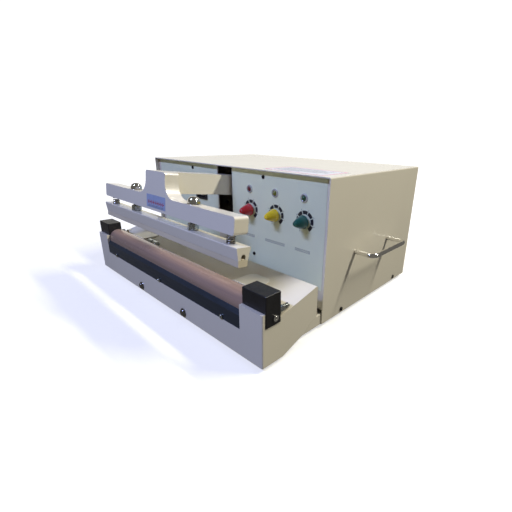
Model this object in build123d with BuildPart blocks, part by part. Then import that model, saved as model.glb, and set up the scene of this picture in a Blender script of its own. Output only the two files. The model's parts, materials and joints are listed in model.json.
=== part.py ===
from build123d import *
import os
from math import atan2, cos, hypot, radians, sin

# Automatic jaw-type impulse heat sealer: a motor-driven arm presses a silicone-faced jaw onto a
# PTFE-covered heated bolster. Millimetres, +Z up, +X to the operator's right, front at -Y.
# The origin is on the table, under the middle of the machine's box. The arm stands open.

# ---------------------------------------------------------------- driving dimensions
FOOT_H = 8.0
SHEET = 2.0
CABINET_W = 570.0
CABINET_D = 350.0
CABINET_H = 266.0
BED_W = 596.0
BED_REACH = 163.0
APRON_BOLT_PROUD = 5.0
REAR_FITTING_PROUD = 7.0
OVERALL_D = APRON_BOLT_PROUD + BED_REACH + CABINET_D + REAR_FITTING_PROUD

BASE = FOOT_H
TOP = BASE + CABINET_H
APRON = -OVERALL_D / 2 + APRON_BOLT_PROUD
LIP = APRON + BED_REACH
BACK = LIP + CABINET_D
PANEL_Y = LIP + 10.0
SIDE_X = CABINET_W / 2
INNER_X = SIDE_X - SHEET

# base tray with its thick front noses
TRAY_FRONT = LIP - 54.0
TRAY_BACK = BACK - 2 * SHEET
TRAY_H = 21.0
NOSE_W = 14.0
NOSE_L = 30.0
TRAY_TOP = BASE + SHEET

# bed casting
BED_X = BED_W / 2
BED_BACK = LIP - 35.0
BED_WALL = 12.0
POST_TOP = BASE + 90.0
POST_T = 6.0
PLATFORM_BACK_Z = BASE + 94.5
PLATFORM_FRONT_Z = BASE + 73.5
PAD_TOP = BASE + 88.5
SEAT_Z = BASE + 62.0
WINDOW_Z = BASE + 47.0

# bolster
BOLSTER_R = 20.0
BOLSTER_Y = APRON + POST_T + BOLSTER_R
BOLSTER_HALF = 248.0
CROWN_Z = BASE + 102.0
PTFE_T = 0.8
STRIP_T = 5.5
STRIP_FACE_TOP = BASE + 70.0
STRIP_TOP = BASE + 77.0
STRIP_SCREW_PITCH = 202.5

# end blocks
BLOCK_W = 51.5
BLOCK_D = 31.0
BLOCK_BOTTOM = BASE + 67.0
BLOCK_TOP = BASE + 117.5
BLOCK_FRONT = APRON + POST_T
BLOCK_BACK = BLOCK_FRONT + BLOCK_D

# arm pivot and press drive
PIVOT_Y = LIP + 205.0
PIVOT_Z = BASE + 203.0
OPEN_DEG = 6.5
PIVOT_R = 10.0
ARM_HALF = 19.0
BRACKET_T = 10.0
BRACKET_GAP = 2.0
ROLLER_Y = 90.0
ROLLER_Z = -12.0
ROLLER_R = 12.0
ROLLER_W = 12.0
ROLLER_PIN_R = 4.0
CAM_Y = 89.0
CAM_Z = -54.5
CAM_W = 12.0
CAM_GAP = 0.3
CAM_SHAFT_R = 7.0
CAM_TURN_DEG = 180.0

# head, in the arm's own frame: origin on the pivot, level when the jaw is shut
HEAD_FRONT = -356.0
HEAD_D = 27.0
CROSSBAR_HALF = 231.0
CROSSBAR_BOTTOM = -54.0
CROSSBAR_TOP = -26.0
BOSS_HALF = 36.0
BOSS_TOP = 19.0
BOSS_FILLET = 28.0
JAW_HALF = 239.0
JAW_TOP = -70.0
JAW_BOTTOM = -90.0
JAW_TOP_D = 28.0
JAW_BOTTOM_D = 19.0
JAW_MID_Y = BOLSTER_Y - PIVOT_Y
SILICONE_W = 18.6
SILICONE_BOTTOM = -100.7
STUD_X = 106.5
STUD_R = 6.0
JAW_SPRING_X = 209.0

# control panel
KNOB_X = (85.0, 156.5, 228.0)
KNOB_Z = BASE + 183.0
LAMP_X = (82.0, 153.5, 225.0)
LAMP_Z = BASE + 224.5
LAMP_BODY_R = 6.4
LAMP_BEZEL_R = 8.2
LENS_R = 5.3
SLOT_HALF = 25.0
SLOT_BOTTOM = BASE + 150.0
SWITCH_X = -89.0
SWITCH_Z = BASE + 196.0
SWITCH_W = 44.0
SWITCH_H = 30.0

FIT = 0.05


def level(z):
    """Horizontal plane at height z, facing up."""
    return Plane.XY.offset(z)


def facing(y):
    """Upright plane at y, facing the operator: its x is X and its y is Z."""
    return Plane.XZ.offset(-y)


def across(x):
    """Upright plane at x, facing +X: its x is Y and its y is Z."""
    return Plane.YZ.offset(x)


# The arm's frame is tipped back by OPEN_DEG about the pivot shaft.
TIP = radians(OPEN_DEG)
PIVOT = (0, PIVOT_Y, PIVOT_Z)
ARM_SIDE = Plane(PIVOT, x_dir=(0, cos(TIP), -sin(TIP)), z_dir=(1, 0, 0))
ARM_TOP = Plane(PIVOT, x_dir=(1, 0, 0), z_dir=(0, sin(TIP), cos(TIP)))
ARM_FRONT = Plane(PIVOT, x_dir=(1, 0, 0), z_dir=(0, -cos(TIP), sin(TIP)))


# ---------------------------------------------------------------- base
with BuildPart() as base_tray:
    with BuildSketch(level(BASE)):
        with Locations((0, (TRAY_FRONT + TRAY_BACK) / 2)):
            Rectangle(2 * INNER_X, TRAY_BACK - TRAY_FRONT)
    extrude(amount=SHEET)
    for side in (-1, 1):
        with BuildSketch(across(side * INNER_X)):
            with BuildLine():
                Polyline(
                    (TRAY_FRONT + NOSE_L, BASE + TRAY_H),
                    (TRAY_BACK, BASE + TRAY_H),
                    (TRAY_BACK, BASE),
                    (TRAY_FRONT, BASE),
                )
                ThreePointArc(
                    (TRAY_FRONT, BASE),
                    (TRAY_FRONT + NOSE_L * 0.33, BASE + TRAY_H * 0.7),
                    (TRAY_FRONT + NOSE_L, BASE + TRAY_H),
                )
            make_face()
        extrude(amount=-side * SHEET)
        with BuildSketch(across(side * INNER_X)):
            with BuildLine():
                Polyline(
                    (TRAY_FRONT + NOSE_L, BASE + TRAY_H),
                    (LIP, BASE + TRAY_H),
                    (LIP, BASE),
                    (TRAY_FRONT, BASE),
                )
                ThreePointArc(
                    (TRAY_FRONT, BASE),
                    (TRAY_FRONT + NOSE_L * 0.33, BASE + TRAY_H * 0.7),
                    (TRAY_FRONT + NOSE_L, BASE + TRAY_H),
                )
            make_face()
        extrude(amount=-side * NOSE_W)
    with BuildSketch(facing(TRAY_BACK)):
        with Locations((0, BASE + TRAY_H / 2)):
            Rectangle(2 * INNER_X, TRAY_H)
    extrude(amount=SHEET)

RAIL_X = 84.0
RAIL_W = 20.0
RAIL_TOP = BASE + 22.0
with BuildPart() as base_rails:
    rail_front = APRON + BED_WALL
    rail_back = LIP + 150.0
    with BuildSketch(level(TRAY_TOP)):
        with Locations(
            (-RAIL_X, (rail_front + rail_back) / 2), (RAIL_X, (rail_front + rail_back) / 2)
        ):
            Rectangle(RAIL_W, rail_back - rail_front)
    extrude(amount=RAIL_TOP - TRAY_TOP)

# Front feet stand under the bed's corner pads, rear feet under the tray.
FOOT_X = 248.0
FRONT_FOOT_Y = APRON + 30.0
REAR_FOOT_Y = BACK - 40.0
with BuildPart() as rubber_feet:
    with BuildSketch(level(BASE)):
        with Locations(
            (-FOOT_X, FRONT_FOOT_Y),
            (FOOT_X, FRONT_FOOT_Y),
            (-FOOT_X, REAR_FOOT_Y),
            (FOOT_X, REAR_FOOT_Y),
        ):
            Circle(11.0)
    extrude(amount=-FOOT_H, taper=8)

# ---------------------------------------------------------------- bed casting
SKIRT_BACK = APRON + 45.0
ARCH_MID = (LIP - 70.0, BASE + 17.0)
ARCH_TOP = (LIP - 52.0, BASE + 33.0)
ARCH_END = (BED_BACK, BASE + 36.0)
CHANNEL_BACK = BOLSTER_Y + BOLSTER_R + 1.5
PAD_INNER_X = 170.0
PAD_OUTER_X = 222.0
PAD_BACK = LIP - 62.0
PAD_FRONT = CHANNEL_BACK + 5.0
with BuildPart() as bed_casting:
    with BuildSketch(across(-BED_X)):
        with BuildLine():
            Polyline(
                (APRON, BASE),
                (APRON, POST_TOP),
                (BLOCK_FRONT, POST_TOP),
                (BLOCK_FRONT, BLOCK_BOTTOM),
                (BLOCK_BACK + 1.0, BLOCK_BOTTOM),
                (BLOCK_BACK + 1.0, PLATFORM_FRONT_Z),
                (BED_BACK - 3.0, PLATFORM_BACK_Z),
                (BED_BACK, PLATFORM_BACK_Z - 3.0),
                ARCH_END,
                ARCH_TOP,
                ARCH_MID,
                (SKIRT_BACK, BASE),
                (APRON, BASE),
            )
        make_face()
    extrude(amount=BED_W)
    # level pads beside the bolster, standing out of the sloping platform
    for side in (-1, 1):
        with BuildSketch(level(SEAT_Z)):
            with Locations(
                (side * (PAD_INNER_X + PAD_OUTER_X) / 2, (PAD_FRONT + PAD_BACK) / 2)
            ):
                Rectangle(PAD_OUTER_X - PAD_INNER_X, PAD_BACK - PAD_FRONT)
            fillet(vertices().group_by(Axis.Y)[-1], 18.0)
        extrude(amount=PAD_TOP - SEAT_Z)
    # window in the apron and the channel that holds the bolster
    with BuildSketch(level(WINDOW_Z)):
        with Locations((0, APRON)):
            Rectangle(2 * BOLSTER_HALF, 2 * POST_T)
    extrude(amount=CROWN_Z - WINDOW_Z, mode=Mode.SUBTRACT)
    with BuildSketch(level(SEAT_Z)):
        with Locations((0, (BLOCK_FRONT + CHANNEL_BACK) / 2)):
            Rectangle(2 * BOLSTER_HALF, CHANNEL_BACK - BLOCK_FRONT)
    extrude(amount=CROWN_Z - SEAT_Z, mode=Mode.SUBTRACT)
    # hollow underside, open downward
    with BuildSketch(across(-BED_X + BED_WALL)):
        with BuildLine():
            Polyline(
                (APRON + BED_WALL, BASE - 1.0),
                (APRON + BED_WALL, WINDOW_Z - 9.0),
                (BLOCK_FRONT + 8.0, SEAT_Z - 10.0),
                (CHANNEL_BACK + 6.0, SEAT_Z - 10.0),
                (BED_BACK - BED_WALL, PLATFORM_BACK_Z - 14.0),
                (BED_BACK - BED_WALL, BASE - 1.0),
                (APRON + BED_WALL, BASE - 1.0),
            )
        make_face()
    extrude(amount=BED_W - 2 * BED_WALL, mode=Mode.SUBTRACT)
    # ribs that carry the bed on the rails, and pads over the front feet
    for side in (-1, 1):
        with BuildSketch(level(RAIL_TOP)):
            with Locations((side * RAIL_X, (SKIRT_BACK + BED_BACK - BED_WALL) / 2)):
                Rectangle(10.0, BED_BACK - BED_WALL - SKIRT_BACK)
        extrude(until=Until.NEXT)
        with BuildSketch(level(BASE)):
            with Locations((side * (BED_X - BED_WALL - 22.0), APRON + BED_WALL + 16.0)):
                Rectangle(60.0, 34.0)
        extrude(amount=12.0)
    # clearance for the two bolts that draw the apron to the rails
    with BuildSketch(facing(APRON)):
        with Locations((-RAIL_X, BASE + 11.0), (RAIL_X, BASE + 11.0)):
            Circle(4.2)
    extrude(amount=-BED_WALL, mode=Mode.SUBTRACT)
    apron_corners = bed_casting.edges().filter_by(Axis.Z).group_by(Axis.Y)[0]
    fillet(apron_corners.sort_by(Axis.X)[0], 2.5)
    apron_corners = bed_casting.edges().filter_by(Axis.Z).group_by(Axis.Y)[0]
    fillet(apron_corners.sort_by(Axis.X)[-1], 2.5)

with BuildPart() as apron_bolts:
    for x in (-RAIL_X, RAIL_X):
        with Locations(Plane((x, APRON, BASE + 11.0), z_dir=(0, -1, 0))):
            Cylinder(8.5, 1.2, align=(Align.CENTER, Align.CENTER, Align.MIN))
            Cylinder(7.0, APRON_BOLT_PROUD, align=(Align.CENTER, Align.CENTER, Align.MIN))
            Cylinder(4.0, BED_WALL, align=(Align.CENTER, Align.CENTER, Align.MAX))
    fillet(apron_bolts.edges().filter_by(GeomType.CIRCLE).group_by(Axis.Y)[0], 3.4)

# ---------------------------------------------------------------- bolster
BAR_R = BOLSTER_R - PTFE_T - 0.2
BAR_MID_Z = CROWN_Z - BOLSTER_R
with BuildPart() as bolster_bar:
    with BuildSketch(across(-BOLSTER_HALF + 1.0)):
        with Locations((BOLSTER_Y, BAR_MID_Z)):
            Circle(BAR_R)
        with Locations((BOLSTER_Y, (SEAT_Z + BAR_MID_Z) / 2)):
            Rectangle(2 * BAR_R, BAR_MID_Z - SEAT_Z)
        with Locations((BOLSTER_Y, SEAT_Z - BOLSTER_R / 2)):
            Rectangle(3 * BAR_R, BOLSTER_R, mode=Mode.SUBTRACT)
        with Locations((BOLSTER_Y, CROWN_Z)):
            Rectangle(12.0, 2 * 2.2, mode=Mode.SUBTRACT)
    extrude(amount=2 * (BOLSTER_HALF - 1.0))

FLAT_Z = CROWN_Z - 2.2
with BuildPart() as insulation_tape:
    with BuildSketch(level(FLAT_Z)):
        with Locations((0, BOLSTER_Y)):
            Rectangle(2 * BOLSTER_HALF - 10.0, 11.0)
    extrude(amount=0.3)

with BuildPart() as heating_element:
    with BuildSketch(level(FLAT_Z + 0.3)):
        with Locations((0, BOLSTER_Y)):
            Rectangle(2 * BOLSTER_HALF - 4.0, 5.0)
    extrude(amount=0.3)

with BuildPart() as ptfe_cover:
    with BuildSketch(across(-BOLSTER_HALF + 1.0)):
        with Locations((BOLSTER_Y, BAR_MID_Z)):
            Circle(BOLSTER_R)
            Circle(BOLSTER_R - PTFE_T, mode=Mode.SUBTRACT)
        with Locations((BOLSTER_Y, BAR_MID_Z - BOLSTER_R / 2)):
            Rectangle(2 * BOLSTER_R, BOLSTER_R, mode=Mode.SUBTRACT)
        for side in (-1, 1):
            with Locations((BOLSTER_Y + side * (BOLSTER_R - PTFE_T / 2), SEAT_Z + 10.0)):
                Rectangle(PTFE_T, 20.0)
    extrude(amount=2 * (BOLSTER_HALF - 1.0))

STRIP_BACK = BLOCK_FRONT
with BuildPart() as front_strip:
    with BuildSketch(across(-BOLSTER_HALF + 1.0)):
        with BuildLine():
            Polyline(
                (STRIP_BACK, WINDOW_Z),
                (STRIP_BACK - STRIP_T, WINDOW_Z),
                (STRIP_BACK - STRIP_T, STRIP_FACE_TOP),
                (STRIP_BACK - 0.8, STRIP_TOP),
                (STRIP_BACK, STRIP_TOP),
                (STRIP_BACK, WINDOW_Z),
            )
        make_face()
    extrude(amount=2 * (BOLSTER_HALF - 1.0))
    with BuildSketch(facing(STRIP_BACK)):
        for x in (-STRIP_SCREW_PITCH, 0, STRIP_SCREW_PITCH):
            with Locations((x, WINDOW_Z + 4.5)):
                Circle(2.3)
            with Locations((x, WINDOW_Z + 1.5)):
                Rectangle(4.6, 7.0)
    extrude(amount=STRIP_T, mode=Mode.SUBTRACT)

with BuildPart() as strip_screws:
    for x in (-STRIP_SCREW_PITCH, 0, STRIP_SCREW_PITCH):
        with Locations(Plane((x, STRIP_BACK - STRIP_T, WINDOW_Z + 4.5), z_dir=(0, -1, 0))):
            Cylinder(4.0, 2.4, align=(Align.CENTER, Align.CENTER, Align.MIN))
            Cylinder(2.0, STRIP_T, align=(Align.CENTER, Align.CENTER, Align.MAX))
            with Locations((0, 0, 2.0)):
                Box(0.9, 5.0, 1.0, mode=Mode.SUBTRACT)
                Box(5.0, 0.9, 1.0, mode=Mode.SUBTRACT)

# ---------------------------------------------------------------- end blocks
BLOCK_INNER_X = BOLSTER_HALF
BLOCK_SCREW_Y = BLOCK_FRONT + 19.0
BLOCK_SCREW_Z = BASE + 78.0
TENSION_X = BLOCK_INNER_X + 43.5
TENSION_Z = BASE + 83.0
with BuildPart() as end_blocks:
    for side in (-1, 1):
        with BuildSketch(level(BLOCK_BOTTOM)):
            with Locations((side * (BLOCK_INNER_X + BLOCK_W / 2), (BLOCK_FRONT + BLOCK_BACK) / 2)):
                RectangleRounded(BLOCK_W, BLOCK_D, 1.5)
        extrude(amount=BLOCK_TOP - BLOCK_BOTTOM)
    fillet(end_blocks.edges().group_by(Axis.Z)[-1], 1.2)
    for side in (-1, 1):
        with Locations(
            Plane((side * (BLOCK_INNER_X + BLOCK_W), BLOCK_SCREW_Y, BLOCK_SCREW_Z), z_dir=(side, 0, 0))
        ):
            Hole(2.1, 12.0)
        with Locations(Plane((side * TENSION_X, BLOCK_BACK, TENSION_Z), z_dir=(0, 1, 0))):
            Hole(4.1, 10.0)

with BuildPart() as end_block_screws:
    for side in (-1, 1):
        face_x = side * (BLOCK_INNER_X + BLOCK_W)
        with Locations(Plane((face_x, BLOCK_SCREW_Y, BLOCK_SCREW_Z), z_dir=(side, 0, 0))):
            Cylinder(5.0, 2.2, align=(Align.CENTER, Align.CENTER, Align.MIN))
            Cylinder(2.0, 10.0, align=(Align.CENTER, Align.CENTER, Align.MAX))
            with Locations((0, 0, 2.0)):
                Box(1.1, 6.4, 1.6, mode=Mode.SUBTRACT)
                Box(6.4, 1.1, 1.6, mode=Mode.SUBTRACT)

with BuildPart() as tension_screws:
    for side in (-1, 1):
        seat = Plane((side * TENSION_X, BLOCK_BACK, TENSION_Z), z_dir=(0, 1, 0))
        with Locations(seat):
            Cylinder(4.0, 9.0, align=(Align.CENTER, Align.CENTER, Align.MAX))
            Cylinder(6.9, 1.4, align=(Align.CENTER, Align.CENTER, Align.MIN))
            Cylinder(4.0, 24.0, align=(Align.CENTER, Align.CENTER, Align.MIN))
        with BuildSketch(seat.offset(1.4)):
            RegularPolygon(6.9, 6)
        extrude(amount=8.0)

PLATFORM_RISE = (PLATFORM_BACK_Z - PLATFORM_FRONT_Z) / (BED_BACK - 3.0 - BLOCK_BACK - 1.0)


def platform_z(y):
    """Height of the bed's sloping platform at depth y."""
    return PLATFORM_FRONT_Z + PLATFORM_RISE * (y - BLOCK_BACK - 1.0)


TERMINAL_X = 236.0
TERMINAL_TOP = BASE + 98.0
CLIP_X = -141.0
CLIP_W = 38.0
CLIP_FRONT = CHANNEL_BACK + 9.0
CLIP_BACK = CLIP_FRONT + 14.0
CLIP_TOP = BASE + 88.5
with BuildPart() as element_terminals:
    for side in (-1, 1):
        with BuildSketch(across(side * TERMINAL_X - 5.0)):
            with BuildLine():
                Polyline(
                    (CHANNEL_BACK - 1.2, SEAT_Z + 4.0),
                    (CHANNEL_BACK - 1.2, TERMINAL_TOP),
                    (CHANNEL_BACK + 8.0, TERMINAL_TOP),
                    (CHANNEL_BACK + 8.0, TERMINAL_TOP - 1.0),
                    (CHANNEL_BACK - 0.2, TERMINAL_TOP - 1.0),
                    (CHANNEL_BACK - 0.2, SEAT_Z + 4.0),
                    (CHANNEL_BACK - 1.2, SEAT_Z + 4.0),
                )
            make_face()
        extrude(amount=10.0)
    # the two-lobed clip that holds the element's lead down on the platform
    with BuildSketch(across(CLIP_X - CLIP_W / 2)):
        with BuildLine():
            Polyline(
                (CLIP_FRONT, platform_z(CLIP_FRONT)),
                (CLIP_FRONT, CLIP_TOP - 3.0),
                (CLIP_FRONT + 4.0, CLIP_TOP),
                (CLIP_BACK - 4.0, CLIP_TOP),
                (CLIP_BACK, platform_z(CLIP_BACK)),
                (CLIP_FRONT, platform_z(CLIP_FRONT)),
            )
        make_face()
    extrude(amount=CLIP_W)
    with BuildSketch(level(CLIP_TOP - 4.0)):
        with Locations((CLIP_X, CLIP_FRONT)):
            RectangleRounded(6.0, 16.0, 2.0)
    extrude(amount=4.0, mode=Mode.SUBTRACT)

# ---------------------------------------------------------------- cabinet
SCREW_Z = BASE + 8.0
SCREW_Y = (LIP + 63.0, LIP + 289.0)
HANDLE_Y = (LIP + 97.0, LIP + 231.0)
HANDLE_Z = BASE + 119.0
HANDLE_R = 4.5
HANDLE_REACH = 41.0
with BuildPart() as cabinet_cover:
    with BuildSketch(facing(LIP)):
        with Locations((0, BASE + CABINET_H / 2)):
            Rectangle(CABINET_W, CABINET_H)
    extrude(amount=-CABINET_D)
    fillet(cabinet_cover.faces().sort_by(Axis.Z)[-1].edges().filter_by(Axis.Y), 3.0)
    with BuildSketch(facing(LIP)):
        with Locations((0, BASE + (CABINET_H - SHEET) / 2)):
            Rectangle(2 * INNER_X, CABINET_H - SHEET)
    extrude(amount=-CABINET_D, mode=Mode.SUBTRACT)
    with BuildSketch(across(-SIDE_X)):
        with Locations(*[(y, SCREW_Z) for y in SCREW_Y]):
            Circle(2.2)
        with Locations(*[(y, HANDLE_Z) for y in HANDLE_Y]):
            Circle(3.3)
    extrude(amount=CABINET_W, mode=Mode.SUBTRACT)

with BuildPart() as cover_screws:
    for side in (-1, 1):
        for y in SCREW_Y:
            with Locations(Plane((side * SIDE_X, y, SCREW_Z), z_dir=(side, 0, 0))):
                Cylinder(4.0, 2.0, align=(Align.CENTER, Align.CENTER, Align.MIN))
                Cylinder(2.0, SHEET, align=(Align.CENTER, Align.CENTER, Align.MAX))
                with Locations((0, 0, 2.0)):
                    Box(0.9, 5.0, 1.2, mode=Mode.SUBTRACT)
                    Box(5.0, 0.9, 1.2, mode=Mode.SUBTRACT)

VENT_X = 150.0
INLET_X = -200.0
FUSE_X = -150.0
PEDAL_X = -105.0
REAR_SOCKET_Z = BASE + 60.0
REAR_FACE = BACK - SHEET
with BuildPart() as rear_panel:
    with BuildSketch(facing(REAR_FACE)):
        with Locations((0, BASE + (CABINET_H - SHEET) / 2)):
            Rectangle(2 * INNER_X, CABINET_H - SHEET)
        with Locations((VENT_X, BASE + 170.0)):
            with GridLocations(0, 14.0, 1, 8):
                SlotOverall(120.0, 5.0, mode=Mode.SUBTRACT)
        with Locations((INLET_X, REAR_SOCKET_Z)):
            Rectangle(28.0, 22.0, mode=Mode.SUBTRACT)
        with Locations((FUSE_X, REAR_SOCKET_Z)):
            Circle(6.2, mode=Mode.SUBTRACT)
        with Locations((PEDAL_X, REAR_SOCKET_Z)):
            Circle(8.2, mode=Mode.SUBTRACT)
    extrude(amount=SHEET)

PANEL_TOP = TOP - SHEET
PANEL_BOTTOM = BASE + TRAY_H + 1.0
with BuildPart() as front_panel:
    with BuildSketch(facing(PANEL_Y)):
        with Locations((0, (PANEL_TOP + PANEL_BOTTOM) / 2)):
            Rectangle(2 * INNER_X, PANEL_TOP - PANEL_BOTTOM)
        with Locations((0, (PANEL_TOP + SLOT_BOTTOM) / 2)):
            Rectangle(2 * SLOT_HALF, PANEL_TOP - SLOT_BOTTOM, mode=Mode.SUBTRACT)
        with Locations(*[(x, KNOB_Z) for x in KNOB_X]):
            Circle(4.6, mode=Mode.SUBTRACT)
        with Locations(*[(x, LAMP_Z) for x in LAMP_X]):
            Circle(LAMP_BODY_R + FIT, mode=Mode.SUBTRACT)
        with Locations((SWITCH_X, SWITCH_Z)):
            Rectangle(SWITCH_W - 8.0, SWITCH_H - 6.0, mode=Mode.SUBTRACT)
    extrude(amount=-SHEET)

LABEL_T = 0.5
LABEL_INNER_X = SLOT_HALF + 1.5
LABEL_OUTER_X = 273.0
LABEL_BOTTOM = BASE + 60.0
LABEL_TOP = TOP - SHEET - 1.5
UPPER_SCREW_Z = TOP - 14.5
LOWER_SCREW_Z = BASE + 88.5
PANEL_SCREWS = (
    (-121.0, UPPER_SCREW_Z), (121.0, UPPER_SCREW_Z), (-93.0, LOWER_SCREW_Z), (93.0, LOWER_SCREW_Z)
)
with BuildPart() as control_labels:
    with BuildSketch(facing(PANEL_Y)):
        for side in (-1, 1):
            with Locations(
                (side * (LABEL_INNER_X + LABEL_OUTER_X) / 2, (LABEL_TOP + LABEL_BOTTOM) / 2)
            ):
                Rectangle(LABEL_OUTER_X - LABEL_INNER_X, LABEL_TOP - LABEL_BOTTOM)
        with Locations(*[(x, KNOB_Z) for x in KNOB_X]):
            Circle(7.0, mode=Mode.SUBTRACT)
        with Locations(*[(x, LAMP_Z) for x in LAMP_X]):
            Circle(LAMP_BODY_R + FIT, mode=Mode.SUBTRACT)
        with Locations((SWITCH_X, SWITCH_Z)):
            Rectangle(SWITCH_W - 8.0, SWITCH_H - 6.0, mode=Mode.SUBTRACT)
        with Locations(*PANEL_SCREWS):
            Circle(4.3, mode=Mode.SUBTRACT)
    extrude(amount=LABEL_T)

with BuildPart() as panel_screws:
    with Locations(*[Plane((x, PANEL_Y, z), z_dir=(0, -1, 0)) for x, z in PANEL_SCREWS]):
        Cylinder(3.4, 1.8, align=(Align.CENTER, Align.CENTER, Align.MIN))
    for x, z in PANEL_SCREWS:
        with Locations(Plane((x, PANEL_Y - 1.8, z), z_dir=(0, -1, 0))):
            Box(0.8, 4.4, 1.4, mode=Mode.SUBTRACT)
            Box(4.4, 0.8, 1.4, mode=Mode.SUBTRACT)

# Each carrying handle is one bent rod, bolted on through the cover.
with BuildPart() as side_handles:
    for side in (-1, 1):
        near = side * SIDE_X
        far = side * (SIDE_X + HANDLE_REACH)
        with BuildLine(Plane.XY.offset(HANDLE_Z)):
            bent_rod = FilletPolyline(
                (near, HANDLE_Y[0]), (far, HANDLE_Y[0]), (far, HANDLE_Y[1]), (near, HANDLE_Y[1]),
                radius=14.0,
            )
        with BuildSketch(Plane((near, HANDLE_Y[0], HANDLE_Z), z_dir=(side, 0, 0))):
            Circle(HANDLE_R)
        sweep(path=bent_rod)
        with Locations(*[Plane((near, y, HANDLE_Z), z_dir=(side, 0, 0)) for y in HANDLE_Y]):
            Cylinder(3.2, 8.0, align=(Align.CENTER, Align.CENTER, Align.MAX))

with BuildPart() as handle_nuts:
    for side in (-1, 1):
        for y in HANDLE_Y:
            with BuildSketch(Plane((side * INNER_X, y, HANDLE_Z), z_dir=(-side, 0, 0))):
                RegularPolygon(5.8, 6)
                Circle(3.2 + FIT, mode=Mode.SUBTRACT)
            extrude(amount=5.0)

# ---------------------------------------------------------------- rear fittings
with BuildPart() as power_inlet:
    with BuildSketch(facing(REAR_FACE)):
        with Locations((INLET_X, REAR_SOCKET_Z)):
            RectangleRounded(48.0, 30.0, 5.0)
    extrude(amount=-3.0 - SHEET)
    with BuildSketch(facing(REAR_FACE)):
        with Locations((INLET_X, REAR_SOCKET_Z)):
            Rectangle(27.0, 21.0)
    extrude(amount=18.0)
    with BuildSketch(facing(REAR_FACE + 3.0 + SHEET)):
        with Locations((INLET_X, REAR_SOCKET_Z)):
            RectangleRounded(24.0, 16.5, 3.0)
    extrude(amount=20.0, mode=Mode.SUBTRACT)
    with BuildSketch(facing(REAR_FACE - 15.0)):
        with Locations(
            (INLET_X - 7.0, REAR_SOCKET_Z),
            (INLET_X, REAR_SOCKET_Z + 3.5),
            (INLET_X + 7.0, REAR_SOCKET_Z),
        ):
            Rectangle(2.0, 4.0)
    extrude(amount=-9.0)

with BuildPart() as fuse_holder:
    with Locations(Plane((FUSE_X, REAR_FACE, REAR_SOCKET_Z), z_dir=(0, 1, 0))):
        Cylinder(9.0, 3.0, align=(Align.CENTER, Align.CENTER, Align.MIN))
        Cylinder(6.5, SHEET + REAR_FITTING_PROUD, align=(Align.CENTER, Align.CENTER, Align.MIN))
        Cylinder(6.0, 24.0, align=(Align.CENTER, Align.CENTER, Align.MAX))
        with Locations((0, 0, SHEET + REAR_FITTING_PROUD)):
            Box(9.0, 1.4, 2.0, mode=Mode.SUBTRACT)

with BuildPart() as pedal_socket:
    with Locations(Plane((PEDAL_X, REAR_FACE, REAR_SOCKET_Z), z_dir=(0, 1, 0))):
        Cylinder(11.0, 2.0, align=(Align.CENTER, Align.CENTER, Align.MIN))
        Cylinder(8.0, SHEET + 4.0, align=(Align.CENTER, Align.CENTER, Align.MIN))
        Cylinder(8.0, 16.0, align=(Align.CENTER, Align.CENTER, Align.MAX))
        with Locations((0, 0, SHEET + 4.0)):
            Cylinder(6.4, 8.0, align=(Align.CENTER, Align.CENTER, Align.MAX), mode=Mode.SUBTRACT)
        with Locations((0, 0, -4.0)):
            with PolarLocations(3.4, 4):
                Cylinder(0.8, 4.0, align=(Align.CENTER, Align.CENTER, Align.MIN))

# ---------------------------------------------------------------- control panel fittings
BOARD_Y = PANEL_Y + SHEET + 16.0
with BuildPart() as timer_board:
    with BuildSketch(facing(BOARD_Y)):
        with Locations((156.0, BASE + 195.0)):
            Rectangle(200.0, 90.0)
        with Locations(*[(x, LAMP_Z) for x in LAMP_X]):
            Circle(LAMP_BODY_R, mode=Mode.SUBTRACT)
    extrude(amount=-1.6)
    # timer chips and relays on the back of the board
    with BuildSketch(facing(BOARD_Y + 1.6)):
        for x in KNOB_X:
            with Locations((x - 12.0, BASE + 170.0)):
                Rectangle(18.0, 12.0)
            with Locations((x + 14.0, BASE + 172.0)):
                Rectangle(10.0, 20.0)
    extrude(amount=-9.0)

# Each timer potentiometer is clamped to the panel; its shaft turns with the knob.
POT_SHAFT_R = 3.0
with BuildPart() as timer_potentiometers:
    for x in KNOB_X:
        with Locations(Plane((x, PANEL_Y + SHEET, KNOB_Z), z_dir=(0, 1, 0))):
            Cylinder(11.0, 9.0, align=(Align.CENTER, Align.CENTER, Align.MIN))
        with Locations(Plane((x, PANEL_Y + SHEET, KNOB_Z), z_dir=(0, -1, 0))):
            Cylinder(4.5, 6.0, align=(Align.CENTER, Align.CENTER, Align.MIN))
            Hole(POT_SHAFT_R + FIT, 8.0)
        with BuildSketch(Plane((x, PANEL_Y, KNOB_Z), z_dir=(0, -1, 0))):
            RegularPolygon(6.2, 6)
            Circle(4.0, mode=Mode.SUBTRACT)
        extrude(amount=2.2)

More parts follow.
